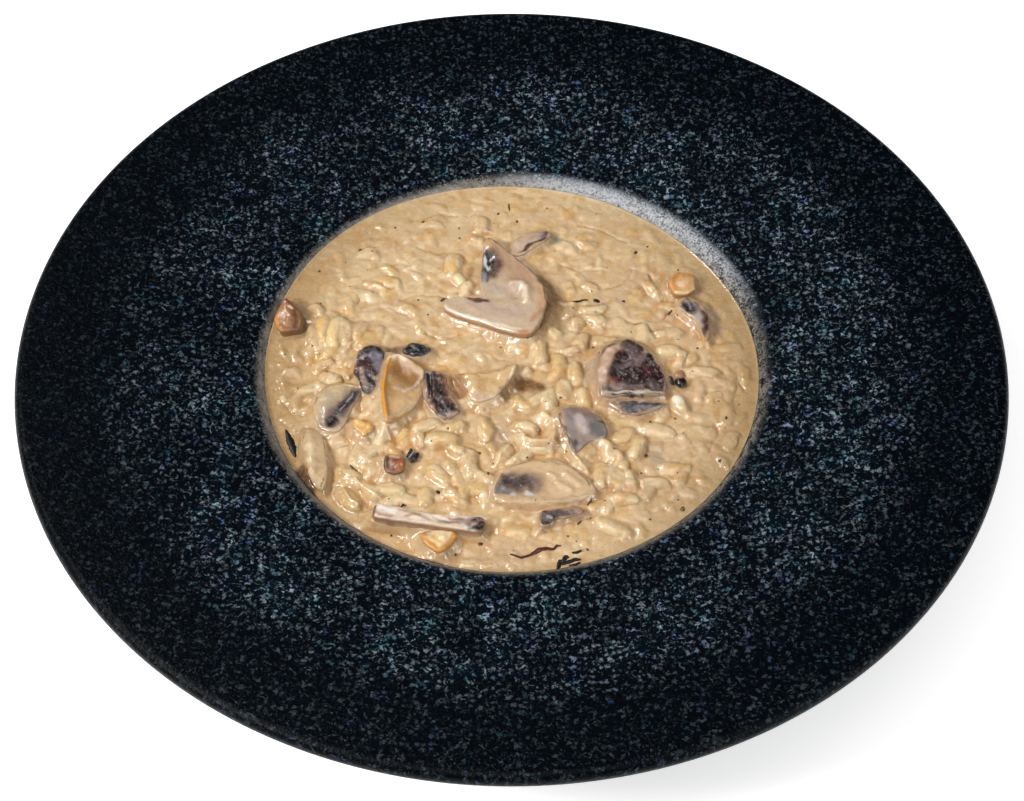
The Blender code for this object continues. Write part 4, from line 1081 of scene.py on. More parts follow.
def bowed(piece, x, y):
    """How far a piece curves up or down at points in its own frame."""
    half_x, half_y = np.abs(piece.outline).max(axis=0)
    return piece.bow[0] * (x / half_x) ** 2 + piece.bow[1] * (y / half_y) ** 2


def piece_top(piece, x, y):
    """Height of a piece's top above its flat one, at points in its own frame."""
    lift = bowed(piece, x, y)
    for height, width, points in piece.relief:
        lift = lift + height * bell(path_distance(x, y, points), width)
    return lift


# How strongly a piece of each finish darkens the sauce that touches it: a stain, with painted shade round the
# piece.
STAIN_AND_SHADE = {"mushroom_gills": 0.75, "mushroom_skin": 0.45, "mushroom_flesh": 0.35}
# Points on the outline where the sauce meets a piece.
OUTLINE_POINTS = 180


def press_in(field, stain_and_shade, piece):
    """Piles the sauce up against a piece's side and darkens it there, a stain with painted shade, and keeps
    it below the piece's top.
    """
    px, py, pz = piece.place
    cells, gx, gy = window(px, py, max(math.hypot(*p) for p in piece.outline) + 6)
    lx, ly = turned(gx - px, gy - py, -math.radians(piece.turn[2]))
    curve = closed_curve(piece.outline, OUTLINE_POINTS)
    bearing = np.arctan2(curve[:, 1], curve[:, 0])
    order = np.argsort(bearing)
    radii = np.hypot(curve[:, 0], curve[:, 1])[order]
    limit = np.interp(np.arctan2(ly, lx), bearing[order], radii, period=math.tau)
    outside = np.hypot(lx, ly) - limit + 0.5 * ripple(lx, ly, 2.4, 63) + 0.25 * ripple(lx, ly, 1.0, 64)
    tilt = math.sin(math.radians(piece.turn[0])) * ly - math.sin(math.radians(piece.turn[1])) * lx
    top = pz + piece.thick / 2 + tilt + piece_top(piece, lx, ly)
    line = top - max((1 - piece.wet) * piece.thick, 0.6)
    piled = smooth_max(field[cells], line - 0.95 * np.maximum(outside, 0), 0.7)
    covered = np.zeros_like(top)
    for width, points in piece.covers:
        covered = np.maximum(covered, bell(path_distance(lx, ly, points), width, 4))
    inner = np.minimum(piled, top - 0.45)
    inner = inner + (top + 0.12 - inner) * smooth_step(covered + 0.3 * ripple(lx, ly, 2.0, 61), 0.3, 0.75)
    share = smooth_step(outside, -0.9, 0.5)
    field[cells] = inner * (1 - share) + piled * share
    stain_and_shade[cells] = np.maximum(stain_and_shade[cells], STAIN_AND_SHADE[piece.slot] * bell(np.maximum(outside, 0), 1.1, 1.5))


# Thin folds of sauce that stand up, and grooves, which are negative: height, width, points.
FOLDS = (
    (0.7, 0.45, ((-46, -43.5), (-44.5, -46.5), (-42, -49))),
    (0.6, 0.45, ((-43, -40), (-40.5, -43.5), (-36, -47))),
    (0.7, 0.4, ((-18.6, -43.6), (-18.2, -46), (-15, -48.6))),
    (0.6, 0.4, ((-55.5, -0.3), (-52, 2))), (0.6, 0.4, ((-50, 4), (-47.6, 5.6))),
    (0.5, 0.4, ((-48.4, 5.4), (-46, 7.6), (-43.7, 10), (-42, 13.8))),
    (0.8, 0.5, ((16.4, -31.6), (18.5, -34.5), (20.8, -38))),
    (1.3, 1.2, ((8.6, -19.7), (12.2, -21.5), (12.9, -25.5), (10.4, -29), (5.4, -29.3), (3.3, -26.8))),
    (1.0, 1.2, ((19, -30.6), (21.2, -27), (25.4, -27), (28.3, -30), (30.2, -33.6))),
    (0.6, 0.45, ((0, -27.5), (-2.4, -32), (-4, -36))), (0.5, 0.4, ((3, -29), (1, -34), (3.4, -36.4))),
    (0.5, 0.45, ((12.6, -36), (16, -38.4), (19.6, -42))), (0.5, 0.4, ((33.8, -38), (36, -41), (36.4, -44))),
    (0.5, 0.4, ((-12, 52), (-6, 52.6))), (0.5, 0.5, ((-44, 44.6), (-39.8, 45))),
    (0.5, 0.5, ((-18.8, 41.5), (-18.4, 35))), (0.5, 0.4, ((-41, 31), (-36, 28.6), (-33, 28.8))),
    (0.5, 0.5, ((14, 24.6), (18, 23.4), (22, 24.4))), (0.4, 0.5, ((38, 20), (43, 23.4), (47, 22.6))),
    (-0.5, 0.4, ((40.8, 36.4), (41.8, 34), (43.4, 29.3), (44.2, 25.5))),
    (-0.5, 0.5, ((34, 17.6), (38.5, 16.4), (40.8, 13), (42, 11))), (-0.4, 0.4, ((44.5, 19), (46, 21.4))),
    (-0.4, 0.4, ((-33, 25), (-26, 27.4), (-19, 26.4))), (-0.4, 0.4, ((-44, 21), (-36, 22.4), (-30, 19))),
    (-0.4, 0.4, ((-28, 46), (-22, 44), (-16, 45.4))), (-0.4, 0.5, ((-40, 38), (-33, 39.6), (-28, 36))),
    (-0.4, 0.4, ((14, 40), (20, 37.4), (28, 38))), (-0.4, 0.4, ((20, 56), (27, 54), (34, 50))),
    (-0.4, 0.4, ((-30, 57), (-22, 59.6), (-14, 59))), (-0.4, 0.4, ((28, 30), (33, 33), (36, 38))),
    (-0.5, 0.4, ((-26, 13), (-20, 10), (-16, 11))), (-0.4, 0.4, ((-8, 6), (-4, 2), (0, 2))),
    (-0.4, 0.4, ((55, -30), (58, -24), (57, -20))), (-0.4, 0.4, ((63, -12), (66, -8), (65, -4))),
    (-0.4, 0.5, ((36, -52), (42, -50), (46, -45))), (-0.4, 0.4, ((-66, -10), (-62, -16), (-57, -17))),
)


def fold_lines():
    """The folds and grooves above, and short ones scattered among the rice."""
    rng = np.random.default_rng(23)
    lines = list(FOLDS)
    while len(lines) < FOLD_COUNT:
        middle = random_place(rng, 64)
        heading, length = 0.9 * rng.uniform(-1, 1), 1.5 + 2.5 * rng.random()
        sway = 0.9 * rng.uniform(-1, 1)
        points = tuple(turned(t * length, sway * (1 - t * t), heading, middle) for t in (-1, -0.5, 0, 0.5, 1))
        side = -1 if rng.random() < 0.5 else 1
        lines.append((side * (0.06 + 0.12 * rng.random()), 0.6 + 0.4 * rng.random(), points))
    return lines


def risotto_field(pieces, rows):
    """The height of the sauce, how golden the rice in it is, and how far the mushroom stains it, with painted
    shade.
    """
    gx, gy = np.meshgrid(FIELD_AXIS, FIELD_AXIS, indexing="ij")
    base = sauce_base(gx, gy)
    field = base.copy()
    warmth = 0.4 * ripple(gx, gy, 5, 83)
    for row in rows:
        lay_grain(field, warmth, *row)
    fade = smooth_step(edge_reach(gx, gy) - np.hypot(gx, gy), 0.0, 3.0)
    field = base * (1 - fade) + field * fade
    calm = 1 - 0.45 * smooth_step(gy, *CALM_SIDE)
    field += (0.12 * ripple(gx, 1.3 * gy, 2.1, 9) + 0.06 * ripple(gx, gy, 0.9, 10)) * fade * calm
    for height, width, points in fold_lines():
        middle = np.mean(points, axis=0)
        cells, wx, wy = window(*middle, max(math.dist(middle, p) for p in points) + 2)
        field[cells] += height * bell(path_distance(*knead(wx, wy), points), width) * fade[cells]
    stain_and_shade = np.zeros_like(field)
    for piece in pieces.values():
        press_in(field, stain_and_shade, piece)
    return field, warmth, stain_and_shade


# Broth pools, stains and painted shadows on the sauce: colour, width, strength, points.
SAUCE_STROKES = (
    # Brown broth beside the large slice, darkened as painted shadow.
    ("6b4a26", 1.6, 0.85, ((7.5, 13), (10, 19), (12.5, 25), (11, 30), (8, 34))),
    ("8a6c4e", 2.6, 0.6, ((14, 16), (15, 22), (13, 28))),
    # Painted shadow under the petal slice.
    ("6b4a26", 2.0, 0.85, ((-2, -12), (0, -9), (3, -7), (7, -8))),
    ("93683a", 1.2, 0.7, ((14, -27), (13, -29))),
    # Painted shade inside the ring of the C-shaped fold.
    ("8a5a28", 1.0, 0.8, ((7.5, -24.5),)),
    # Painted shadow beside a golden grain.
    ("9a6a34", 1.2, 0.7, ((-12, 37), (-12.5, 33))),
    ("8c7464", 1.8, 0.6, ((-61, 13), (-60.5, 18), (-61.5, 21))),
    ("9d8573", 2.4, 0.6, ((-3, -24), (-3, -28))),
    ("9b8878", 2.2, 0.6, ((22.5, 0), (22, -6))),
    ("a08c7c", 2.4, 0.6, ((40, -29), (40, -33))),
    ("5c3830", 1.8, 0.85, ((-35, 5.4), (-31, 5.8))), ("7d4e34", 2.2, 0.8, ((-15.6, -6), (-14.8, -10.5))),
    # 6b3f22 is painted shadow under the petal slice.
    ("6b3f22", 1.4, 0.85, ((2, -9), (5, -6), (8, -8))), ("7d8478", 1.4, 0.7, ((12.6, 49), (14, 49.6))),
    # The next three brown lines are painted shade along grooves in FOLDS.
    ("8a5a30", 0.35, 0.8, ((40.8, 36.4), (41.8, 34), (43.4, 29.3), (44.2, 25.5))),
    ("6b4a2c", 0.35, 0.8, ((36, 17), (38.5, 16.4), (40.8, 13), (42, 11))),
    ("7a3c20", 0.4, 0.8, ((44.5, 19), (46, 21.4))), ("c4722c", 0.9, 0.8, ((-47, 9),)),
    ("c98f3d", 1.0, 0.7, ((-53, 11), (-51, 9))), ("c98f3d", 1.2, 0.6, ((-58, 3), (-55, 4))),
    ("9c7a3a", 1.4, 0.7, ((-48.5, -5), (-46.4, -4))), ("b98a4a", 1.2, 0.6, ((16, 42.5),)),
    ("b98a4a", 1.2, 0.6, ((17.5, 38.5),)), ("b98a4a", 1.0, 0.6, ((19.5, 35.5),)),
    ("a08a78", 2.0, 0.6, ((59, 20), (60, 14))),
    ("a8642c", 1.5, 0.7, ((-57, -38.5), (-54.6, -43))),
    ("35190e", 1.4, 1, ((-59.2, -36.6), (-57, -39.8), (-54.4, -43.2))),
    ("5a4326", 1.0, 0.8, ((-46, -4),)),
    ("b07a3c", 1.0, 0.8, ((-44.6, -4),)),
)


def sauce_tone(means, x, y, z):
    """Beige, ivory or gold with the rice under it, paler on crests and amber in the creases.

    means: the height blurred over 1.5 mm and over 0.6 mm, how golden the rice is, and how far the
    mushroom has stained the sauce, with painted shade round each piece.
    """
    broad, close, gold, stain_and_shade = (sample(mean, x, y) for mean in means)
    raised, crest = z - broad, z - close
    tone = np.tile(linear("cfb089"), (len(x), 1))
    milky = (0.5 + 0.5 * ripple(x, y, 9, 81)) * (0.5 + 0.5 * ripple(x, y, 4, 82))
    rosy = smooth_step(ripple(x, y, 11, 84) + 0.4 * ripple(x, y, 3, 85), 0.1, 0.9)
    painted_edge_shading = smooth_step(np.hypot(x, y), 53, 70) * np.maximum(np.abs(np.cos(np.arctan2(y, x))) - 0.15, 0)
    ochre = ripple(x, y, 2.6, 86) + 0.5 * ripple(x, y, 1.1, 87)
    ivory = ripple(x, 1.4 * y, 2.2, 88) + 0.5 * ripple(x, y, 0.9, 89)
    for colour, share in (
            ("dcc6a0", 0.6 * milky),
            ("c4a388", 0.4 * rosy),
            ("d2a352", 0.5 * smooth_step(gold, 0.0, 0.9)),
            ("e2cba4", 0.5 * smooth_step(-gold, 0.1, 0.9)),
            # The next two are amber where the sauce lies low: deeper broth, with painted shade in the hollows
            # and creases.
            ("b07a38", 0.4 * smooth_step(-raised, 0.05, 0.7)),
            ("a06c30", 0.35 * smooth_step(-crest, 0.04, 0.28)),
            ("ead2a6", 0.35 * smooth_step(raised, 0.1, 0.8)),
            ("c08c46", 0.45 * smooth_step(ochre, 0.2, 0.8)),
            ("ead6b0", 0.45 * smooth_step(ivory, 0.2, 0.8)),
            ("e6cda6", 0.25 * smooth_step(x, 18, 30) * smooth_step(-y, 44, 54)),
            # Darker towards the left edge: painted shade from the wall.
            ("c09a6c", 0.3 * smooth_step(-x, 52, 64)),
            # Darker along the front edge in the middle: painted shade from the wall.
            ("b0916c", 0.5 * smooth_step(-y, 60, 66) * smooth_step(24 - np.abs(x + 6), 0, 12)),
            # Darker round the mushroom pieces: a stain, with painted shade.
            ("8c6e5c", stain_and_shade),
            # Darker at the left and right edges: thin sauce over the dark glaze, with painted shade from the
            # wall.
            ("94754c", 0.8 * painted_edge_shading)):
        tone = lay_over(tone, linear(colour), share)
    return brush(tone, x, y, SAUCE_STROKES)


def fine_disc(rings):
    """A disc of radius 1 in near-equal triangles: its points, triangles and outermost ring."""
    points, faces = [np.zeros((1, 2))], []
    first, count = 0, 1
    for ring in range(1, rings + 1):
        k = np.arange(6 * ring)
        turn = k * math.tau / (6 * ring)
        # The rings lie a little closer together towards the edge.
        reach = 1 - (1 - ring / rings) ** 1.12
        points.append(np.stack([reach * np.cos(turn), reach * np.sin(turn)], axis=1))
        sixth, step = np.divmod(k, ring)
        within = max(6 * (ring - 1), 1)
        here, following = count + k, count + (k + 1) % (6 * ring)
        below = first + (sixth * (ring - 1) + step) % within
        beside = first + (sixth * (ring - 1) + step + 1) % within
        short = step < ring - 1
        faces.append(np.stack([here, following, below], axis=1))
        faces.append(np.stack([below, following, beside], axis=1)[short])
        first, count = count, count + 6 * ring
    return np.concatenate(points), faces, first + np.arange(6 * rings)


def make_sauce(field, means):
    """The sauce as one closed body: a fine disc for its top, and a plain underside."""
    unit, faces, rim = fine_disc(SAUCE_RINGS)
    heading_x, heading_y = unit.T.copy()
    heading_x[0] = 1
    x, y = unit.T * edge_reach(heading_x, heading_y)
    z = sample(field, x, y)
    z[rim] = edge_height(x[rim], y[rim]) + MENISCUS
    tone = sauce_tone(means, x, y, z)

    verts = [np.stack([x, y, z], axis=1)]
    around, tail = len(rim), len(x)
    floor, waist = WELL_FLOOR + SAUCE_GAP, SAUCE_LEVEL - 3
    lower = rounded([
        (0, floor, 0, 0), (well_wall(floor, SAUCE_GAP), floor, WELL_CORNER_ROUNDING, 5),
        (well_wall(waist, SAUCE_GAP), waist, 0, 0)])[1:]
    for r, height in reversed(lower):
        verts.append(np.column_stack([unit[rim] * r, np.full(around, height)]))
    verts.append([(0, 0, floor)])
    verts = np.concatenate(verts)
    below, following = tail + np.arange(around), np.roll(rim, -1)
    faces.append(np.stack([rim, below, following], axis=1))
    faces.append(np.stack([following, below, np.roll(below, -1)], axis=1))
    quads = tube_faces(len(lower), around, tail)
    faces += [quads[:, [0, 3, 1]], quads[:, [1, 3, 2]]]
    ends = fan_faces(len(verts) - 1, tail + (len(lower) - 1) * around, around)
    faces.append(ends[:, [1, 0, 2]])
    underside = np.tile(linear("c5a57c"), (len(verts) - len(tone), 1))
    sauce = mesh_object("risotto_sauce", verts, np.concatenate(faces), risotto_sauce(), "creamy_rice",
                        np.vstack([tone, underside]))
    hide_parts("risotto")


def bean(shape, rng, place, heading, length, width, thick):
    """Points of a plump, slightly bent bean that lies level with its middle at a place."""
    around, rings = shape
    u = np.sin(np.linspace(-math.pi / 2, math.pi / 2, rings + 2)[1:-1])
    phi = np.arange(around) * math.tau / around
    girth = np.sqrt(1 - np.abs(u) ** 3.3) * (1 + 0.1 * rng.uniform(-1, 1) * u)
    lumps = (1 + 0.04 * np.sin(2 * phi[None, :] + 2 * u[:, None] + rng.uniform(0, 6))
             + 0.02 * np.sin(5 * u[:, None] + rng.uniform(0, 6)))
    across = girth[:, None] * np.cos(phi)[None, :] * lumps * width / 2
    across = across + 0.3 * rng.uniform(-1, 1) * (1 - u ** 2)[:, None]
    up = girth[:, None] * np.sin(phi)[None, :] * lumps * thick / 2
    along = np.repeat(u[:, None], around, axis=1) * length / 2
    along = np.append(along.ravel(), [-length / 2, length / 2])
    across = np.append(across.ravel(), [0, 0])
    up = np.append(up.ravel(), [0, 0]) + along * math.radians(5) * rng.uniform(-1, 1)
    x, y = turned(along, across, heading, place)
    return np.stack([x, y, place[2] + up], axis=1)


def bean_faces(around, rings):
    body = tube_faces(rings, around)
    tips = around * rings
    return np.concatenate([
        body[:, [0, 1, 2]], body[:, [0, 2, 3]], fan_faces(tips, 0, around, outward=False),
        fan_faces(tips + 1, (rings - 1) * around, around)])


def make_rice(field, means, rows):
    """Every grain as a bean of its true size, in one piece. Some are whiter, some yellower."""
    rng = np.random.default_rng(3)
    triangles = bean_faces(*GRAIN_SHAPE)
    heap = Heap()
    for x, y, heading, length, rise, width, *colour in rows:
        thick = GRAIN_FLATNESS * width
        place = (x, y, sauce_base(x, y) + rise - thick / 2)
        px, py, pz = bean(GRAIN_SHAPE, rng, place, heading, length, width, thick).T
        kx, ky = knead(px, py)
        px, py = 2 * px - kx, 2 * py - ky
        white, light = rng.random(), 1 + 0.07 * rng.uniform(-1, 1)
        own = (linear("dcc8a2") * white + linear("d2ac68") * (1 - white)) * light
        if colour:
            own = linear(colour[0])
        bare = (0.95 if colour else 0.6) * smooth_step(pz - sample(field, px, py), 0.02, 0.35)
        tone = lay_over(sauce_tone(means, px, py, pz), own, bare)
        heap.lay(np.stack([px, py, pz], axis=1), triangles, tone)
    heap.make("rice_grains", cooked_rice(), "creamy_rice")


# ---------------------------------------------------------------- mushroom

# How ragged the outline and top of a piece of each finish are.
RAGGED = {"mushroom_gills": 1.0, "mushroom_skin": 0.45, "mushroom_flesh": 0.4}

SLAB_AROUND = 120
SLAB_RINGS = 22
EDGE_STEPS = 6


def slab_section(thick):
    """Rows of (share of the radius, inset, height, share of the top's relief), from the top down."""
    half, rounding = thick / 2, min(0.42 * thick, 0.9)
    rows = [((k + 1) / (SLAB_RINGS + 1), rounding, half, 1.0) for k in range(SLAB_RINGS)]
    for k in range(EDGE_STEPS + 1):
        turn = math.pi / 2 * k / EDGE_STEPS
        inset, drop = rounding * (1 - math.sin(turn)), rounding * (1 - math.cos(turn))
        rows.append((1.0, inset, half - drop, 1 - 0.07 * k))
    for k in range(EDGE_STEPS):
        turn = math.pi / 2 * (k + 1) / EDGE_STEPS
        inset, drop = rounding * (1 - math.cos(turn)), rounding * math.sin(turn)
        rows.append((1.0, inset, -(half - rounding) - drop, 0.5 - 0.08 * k))
    return rows + [(share, rounding, -half, 0.0) for share in (0.75, 0.5, 0.25)]


def slab(piece):
    """Points, faces, colours and distances from the outline of a slab with an uneven top."""
    outline = closed_curve(piece.outline, SLAB_AROUND)
    radii = np.hypot(outline[:, 0], outline[:, 1])
    unit = outline / radii[:, None]
    ragged = RAGGED[piece.slot]
    radii = radii + ragged * (0.4 * ripple(*outline.T, 2.2, 21) + 0.25 * ripple(*outline.T, 0.9, 22))
    section = slab_section(piece.thick)
    flat, heights, tops, insets = [[(0, 0)]], [piece.thick / 2], [1.0], [9.0]
    for share, inset, level, top in section:
        reach = share * (radii - inset)
        flat.append(unit * reach[:, None])
        heights.extend([level] * SLAB_AROUND)
        tops.extend([top] * SLAB_AROUND)
        insets.extend(radii - reach if top == 1.0 else [0.0] * SLAB_AROUND)
    x, y = np.concatenate([*flat, [(0, 0)]]).T
    z, top = np.array(heights + [-piece.thick / 2]), np.array(tops + [0.0])
    lift = bowed(piece, x, y)
    relief = piece_top(piece, x, y) - lift
    rough = (0.08 + 0.2 * ragged) * ripple(x, y, 2.4, 31) + (0.03 + 0.12 * ragged) * ripple(x, y, 1.0, 33)
    z = z + lift + top * (relief + rough)
    quads = tube_faces(len(section), SLAB_AROUND, 1)
    last = 1 + (len(section) - 1) * SLAB_AROUND
    faces = np.concatenate([
        quads[:, [0, 3, 1]], quads[:, [1, 3, 2]], fan_faces(0, 1, SLAB_AROUND),
        fan_faces(len(x) - 1, last, SLAB_AROUND, outward=False)])
    tone = brush(np.tile(linear(piece.base), (len(x), 1)), x, y, piece.strokes)
    tone = lay_over(tone, linear(piece.edge), smooth_step(1 - top, 0.15, 0.45))
    return np.stack([x, y, z], axis=1), faces, tone, np.array(insets + [0.0])


def make_mushrooms(field, means, pieces):
    """Every piece of mushroom, with the sauce that coats it."""
    finishes = {
        "mushroom_flesh": mushroom_finish("simmered_mushroom_flesh", 0.22, 0.36, 0.22, "8d8480", 0.35),
        "mushroom_gills": mushroom_finish("soaked_mushroom_gills", 0.25, 0.45, 0.8, "a3938e", 0.06),
        "mushroom_skin": mushroom_finish("browned_mushroom_skin", 0.3, 0.42, 0.25, "8a7a70", 0.3, 0.3),
    }
    for name, piece in pieces.items():
        verts, faces, tone, inset = slab(piece)
        lean = Euler([math.radians(a) for a in piece.turn]).to_matrix()
        verts = verts @ np.array(lean).T + np.array(piece.place)
        x, y, z = verts.T
        clear = z - sample(field, x, y)
        coat = 0.9 * (1 - smooth_step(clear + 0.14 * ripple(x, y, 1.5, 41), -0.1, 0.32))
        veil = 0.45 * smooth_step(ripple(x, y, 3.2, 71) + 0.6 * ripple(x, y, 1.1, 73), 0.15, 0.9)
        coat = np.maximum(coat, veil * smooth_step(tone[:, 1], 0.08, 0.3))
        # A film of sauce thins out over the rims of the wettest pieces.
        film = inset + 1.3 * ripple(x, y, 2.6, 43) + 0.6 * ripple(x, y, 1.0, 45)
        wide = 0.5 if piece.slot == "mushroom_gills" and piece.wet < 0.88 else 2.0
        soft = 0.9 * smooth_step(piece.wet, 0.68, 0.9) * (1 - smooth_step(film, -0.3, wide))
        tone = lay_over(tone, sauce_tone(means, x, y, z), np.maximum(coat, soft))
        made = mesh_object(f"mushroom_{name}_cooked", verts, faces, finishes[piece.slot], piece.slot, tone)
        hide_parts(f"mushroom_{name}")


# ---------------------------------------------------------------- herbs and shreds

# Thin shreds and flecks: colour, height over the sauce, and points of (x, y, half width).
SHREDS = (
    ("4a1e12", 0.35, ((-0.5, -64.6, 0.2), (2.3, -65.8, 0.35), (5, -64.8, 0.4), (7, -63.4, 0.75),
                      (9.5, -62.8, 0.65), (11.4, -62.8, 0.4), (12.2, -61.7, 0.3), (13.3, -61.9, 0.2))),
    ("1c1311", 0.3, ((12.2, -70, 0.3), (12.7, -68.2, 0.6), (12.9, -66.6, 0.5), (13.8, -66.8, 0.6),
                     (14.6, -65.2, 0.7), (15.4, -65.6, 0.3))),
    ("1c1311", 0.3, ((13.4, -67.8, 0.3), (15.5, -66.8, 0.6), (17.2, -66.1, 0.6), (18.6, -66.2, 0.3))),
    ("1c1311", 0.3, ((15.4, -68.2, 0.3), (17.2, -68, 0.5), (18.4, -67.2, 0.35))),
    ("1c1311", 0.3, ((16.3, -64.2, 0.25), (17.8, -64.0, 0.45), (18.9, -63.4, 0.3))),
    ("10140f", 0.25, ((18.2, 24.2, 0.25), (19.4, 25, 0.4), (21, 25.4, 0.3), (22.3, 25.3, 0.2))),
    ("161211", 0.3, ((-63.6, -21.6, 0.2), (-62.8, -23.6, 0.8), (-61.9, -26, 1.1), (-61, -28.6, 1.0),
                     (-60.3, -31.2, 0.3))),
    ("2a1c12", 0.25, ((-44.8, -35, 0.2), (-44, -36, 0.3), (-43, -37, 0.15))),
    ("4a2a14", 0.2, ((20.6, -49, 0.25), (21.6, -47.8, 0.35), (22, -47.4, 0.2))),
    ("3c2a1c", 0.2, ((18, -55, 0.2), (18.5, -54.3, 0.3), (19, -53.8, 0.15))),
    ("2a1c16", 0.2, ((-30.6, -49, 0.2), (-29.8, -48.4, 0.35), (-28.9, -48.6, 0.2))),
    ("5c4630", 0.15, ((-0.9, 64, 0.2), (-0.8, 62.6, 0.35), (-0.7, 61.4, 0.2))),
    ("3c3430", 0.2, ((-20.8, 24.6, 0.3), (-20, 25.6, 0.3), (-19.7, 26.3, 0.2))),
    ("4a3024", 0.15, ((45.6, 20, 0.3), (46.2, 21, 0.3), (46.8, 22, 0.2))),
)


def strand(points, height, field, rng):
    """A flattened thread through points of (x, y, half width), lying on the sauce."""
    points = np.array(points)
    steps = 6 * (len(points) - 1) + 1
    place = np.linspace(0, len(points) - 1, steps)
    line = np.stack([np.interp(place, np.arange(len(points)), column) for column in points.T], axis=1)
    line[:, :2] += 0.07 * rng.uniform(-1, 1, (steps, 2))
    heading = np.gradient(line[:, :2], axis=0)
    heading /= np.linalg.norm(heading, axis=1)[:, None]
    aside = np.stack([-heading[:, 1], heading[:, 0]], axis=1)
    around = 8
    phi = np.arange(around) * math.tau / around
    verts = []
    for (x, y, half), side in zip(line, aside):
        half = half * (1 + 0.15 * rng.uniform(-1, 1))
        px, py = x + side[0] * half * np.cos(phi), y + side[1] * half * np.cos(phi)
        verts.append(np.stack([px, py, sample(field, x, y) + height * (0.3 + 0.9 * np.sin(phi))], axis=1))
    start = np.array([[0, 3, 2, 1], [3, 6, 5, 4], [0, 7, 6, 3]])
    end = (steps - 1) * around + start[:, ::-1]
    return np.concatenate(verts), np.concatenate([tube_faces(steps, around), start, end])


def speck(x, y, half, field, rng):
    """A six-sided crumb of pepper or herb, lying on the sauce."""
    phi = np.arange(6) * math.tau / 6
    stretch, spin = 1 + 0.5 * rng.random(), math.pi * rng.random()
    rings = []
    for share, up in ((0.6, -0.15), (1.0, 0.05), (0.85, 0.22), (0.35, 0.32)):
        wobble = half * share * (1 + 0.25 * rng.uniform(-1, 1, 6))
        px, py = turned(wobble * np.cos(phi) * stretch, wobble * np.sin(phi), spin, (x, y))
        rings.append(np.stack([px, py, np.full(6, sample(field, x, y) + up * min(1, half * 2.2))], axis=1))
    ends = [[0, 5, 2, 1], [5, 4, 3, 2], [18, 19, 20, 23], [20, 21, 22, 23]]
    return np.concatenate(rings), np.concatenate([tube_faces(4, 6), ends])


# Small scraps: x, y, heading in degrees, length, width, thickness, height of its middle over the
# sauce, and colour.
CRUMBS = (
    (48.2, -6.2, 20, 3.4, 3.1, 2.8, 0.9, "17110f"), (47.8, -2.8, 60, 3.4, 2.6, 1.8, 0.2, "a5765f"),
    (45.6, -5.6, 100, 3.0, 1.5, 1.4, 0.3, "2a1c1a"), (-28.6, -31.6, 60, 3.6, 1.2, 1.6, 0.7, "15171d"),
    (-26.9, -33, 60, 3.8, 1.3, 1.8, 0.8, "1a1c24"), (-27.8, -32.2, 60, 3.4, 0.5, 1.7, 0.8, "a3a7ae"),
    (-9.2, -54.6, 20, 3.0, 2.2, 2.0, 0.5, "3c2a22"),
)

# Specks of pepper and herb that stand out: x, y, half size and colour.
SPECKS = (
    (24.8, 25, 0.75, "141210"), (32.8, 25.2, 0.45, "3a3020"), (37, 45, 0.5, "4a3626"),
    (-45.2, 44.4, 0.6, "5a4a2e"), (-57, 36.4, 0.45, "5a4026"), (-4.1, 60, 0.4, "5a4630"),
    (-26.6, 56.2, 0.5, "4a3c28"), (1.6, 57, 0.4, "5a4a32"), (-27.4, 25.2, 0.4, "5a4a3a"),
    (53.6, 7.2, 0.4, "4a3626"), (39, -20.2, 0.4, "3c2c1e"), (46, -18.8, 0.35, "4a3a28"),
    (60.4, -18.6, 0.4, "5a4632"), (57.8, -33.6, 0.5, "5a3e26"), (37.2, -31.8, 0.6, "5c2214"),
    (28.4, -30.7, 0.3, "4a3626"), (35.8, -37.8, 0.35, "4a3a2a"), (-20.3, -43.9, 0.6, "2c241c"),
    (-17.8, -23.9, 0.35, "4a3626"), (-6.5, -39.1, 0.35, "3c2c20"), (-8.4, -61, 0.7, "5c1c10"),
    (20.5, -63, 0.35, "3c2c20"), (34.5, -62.5, 0.35, "3c2c20"), (-15.2, -64.7, 0.4, "4a4234"),
    (-32.7, -57.8, 0.35, "3c3426"), (-9, -31, 0.5, "5c4236"), (46.8, -49.6, 0.7, "6b5234"),
    (13.8, -12.3, 0.35, "5a4630"), (23.5, 7.4, 0.35, "5a4a32"), (25, 2.6, 0.3, "5a4a32"),
)


def make_crumbs(field):
    """Crumbs of browned skin and gill, in one piece."""
    rng = np.random.default_rng(29)
    triangles = bean_faces(*CRUMB_SHAPE)
    heap = Heap()
    for x, y, heading, length, width, thick, up, colour in CRUMBS:
        place = (x, y, sample(field, x, y) + up)
        points = bean(CRUMB_SHAPE, rng, place, math.radians(heading), length, width, thick)
        dents = [ripple(points[:, 0] + 3 * c, points[:, 2], 0.9, 91 + c) for c in range(3)]
        heap.lay(points + 0.12 * np.stack(dents, axis=1), triangles, linear(colour))
    heap.make("mushroom_crumbs", mushroom_finish("wet_mushroom_crumb", 0.15, 0.3, 0.3, "6b5a52", 0.05),
              "mushroom_gills")


def make_herbs(field):
    """Shreds, flecks of herb and specks of pepper that lie on the sauce, in one piece."""
    rng = np.random.default_rng(17)
    heap = Heap()
    for colour, height, points in SHREDS:
        heap.lay(*strand(points, height, field, rng), linear(colour))
    specks = list(SPECKS)
    for _ in range(SCATTERED_SPECKS):
        x, y = random_place(rng, 66)
        colour = ("5a4a32", "4a3a28", "6b5636", "3c3026")[int(rng.integers(4))]
        specks.append((x, y, 0.16 + 0.16 * rng.random(), colour))
    for x, y, half, colour in specks:
        heap.lay(*speck(x, y, half, field, rng), linear(colour))
    heap.make("herb_flecks", herb_flake(), "mushroom_gills")


# ---------------------------------------------------------------- stage

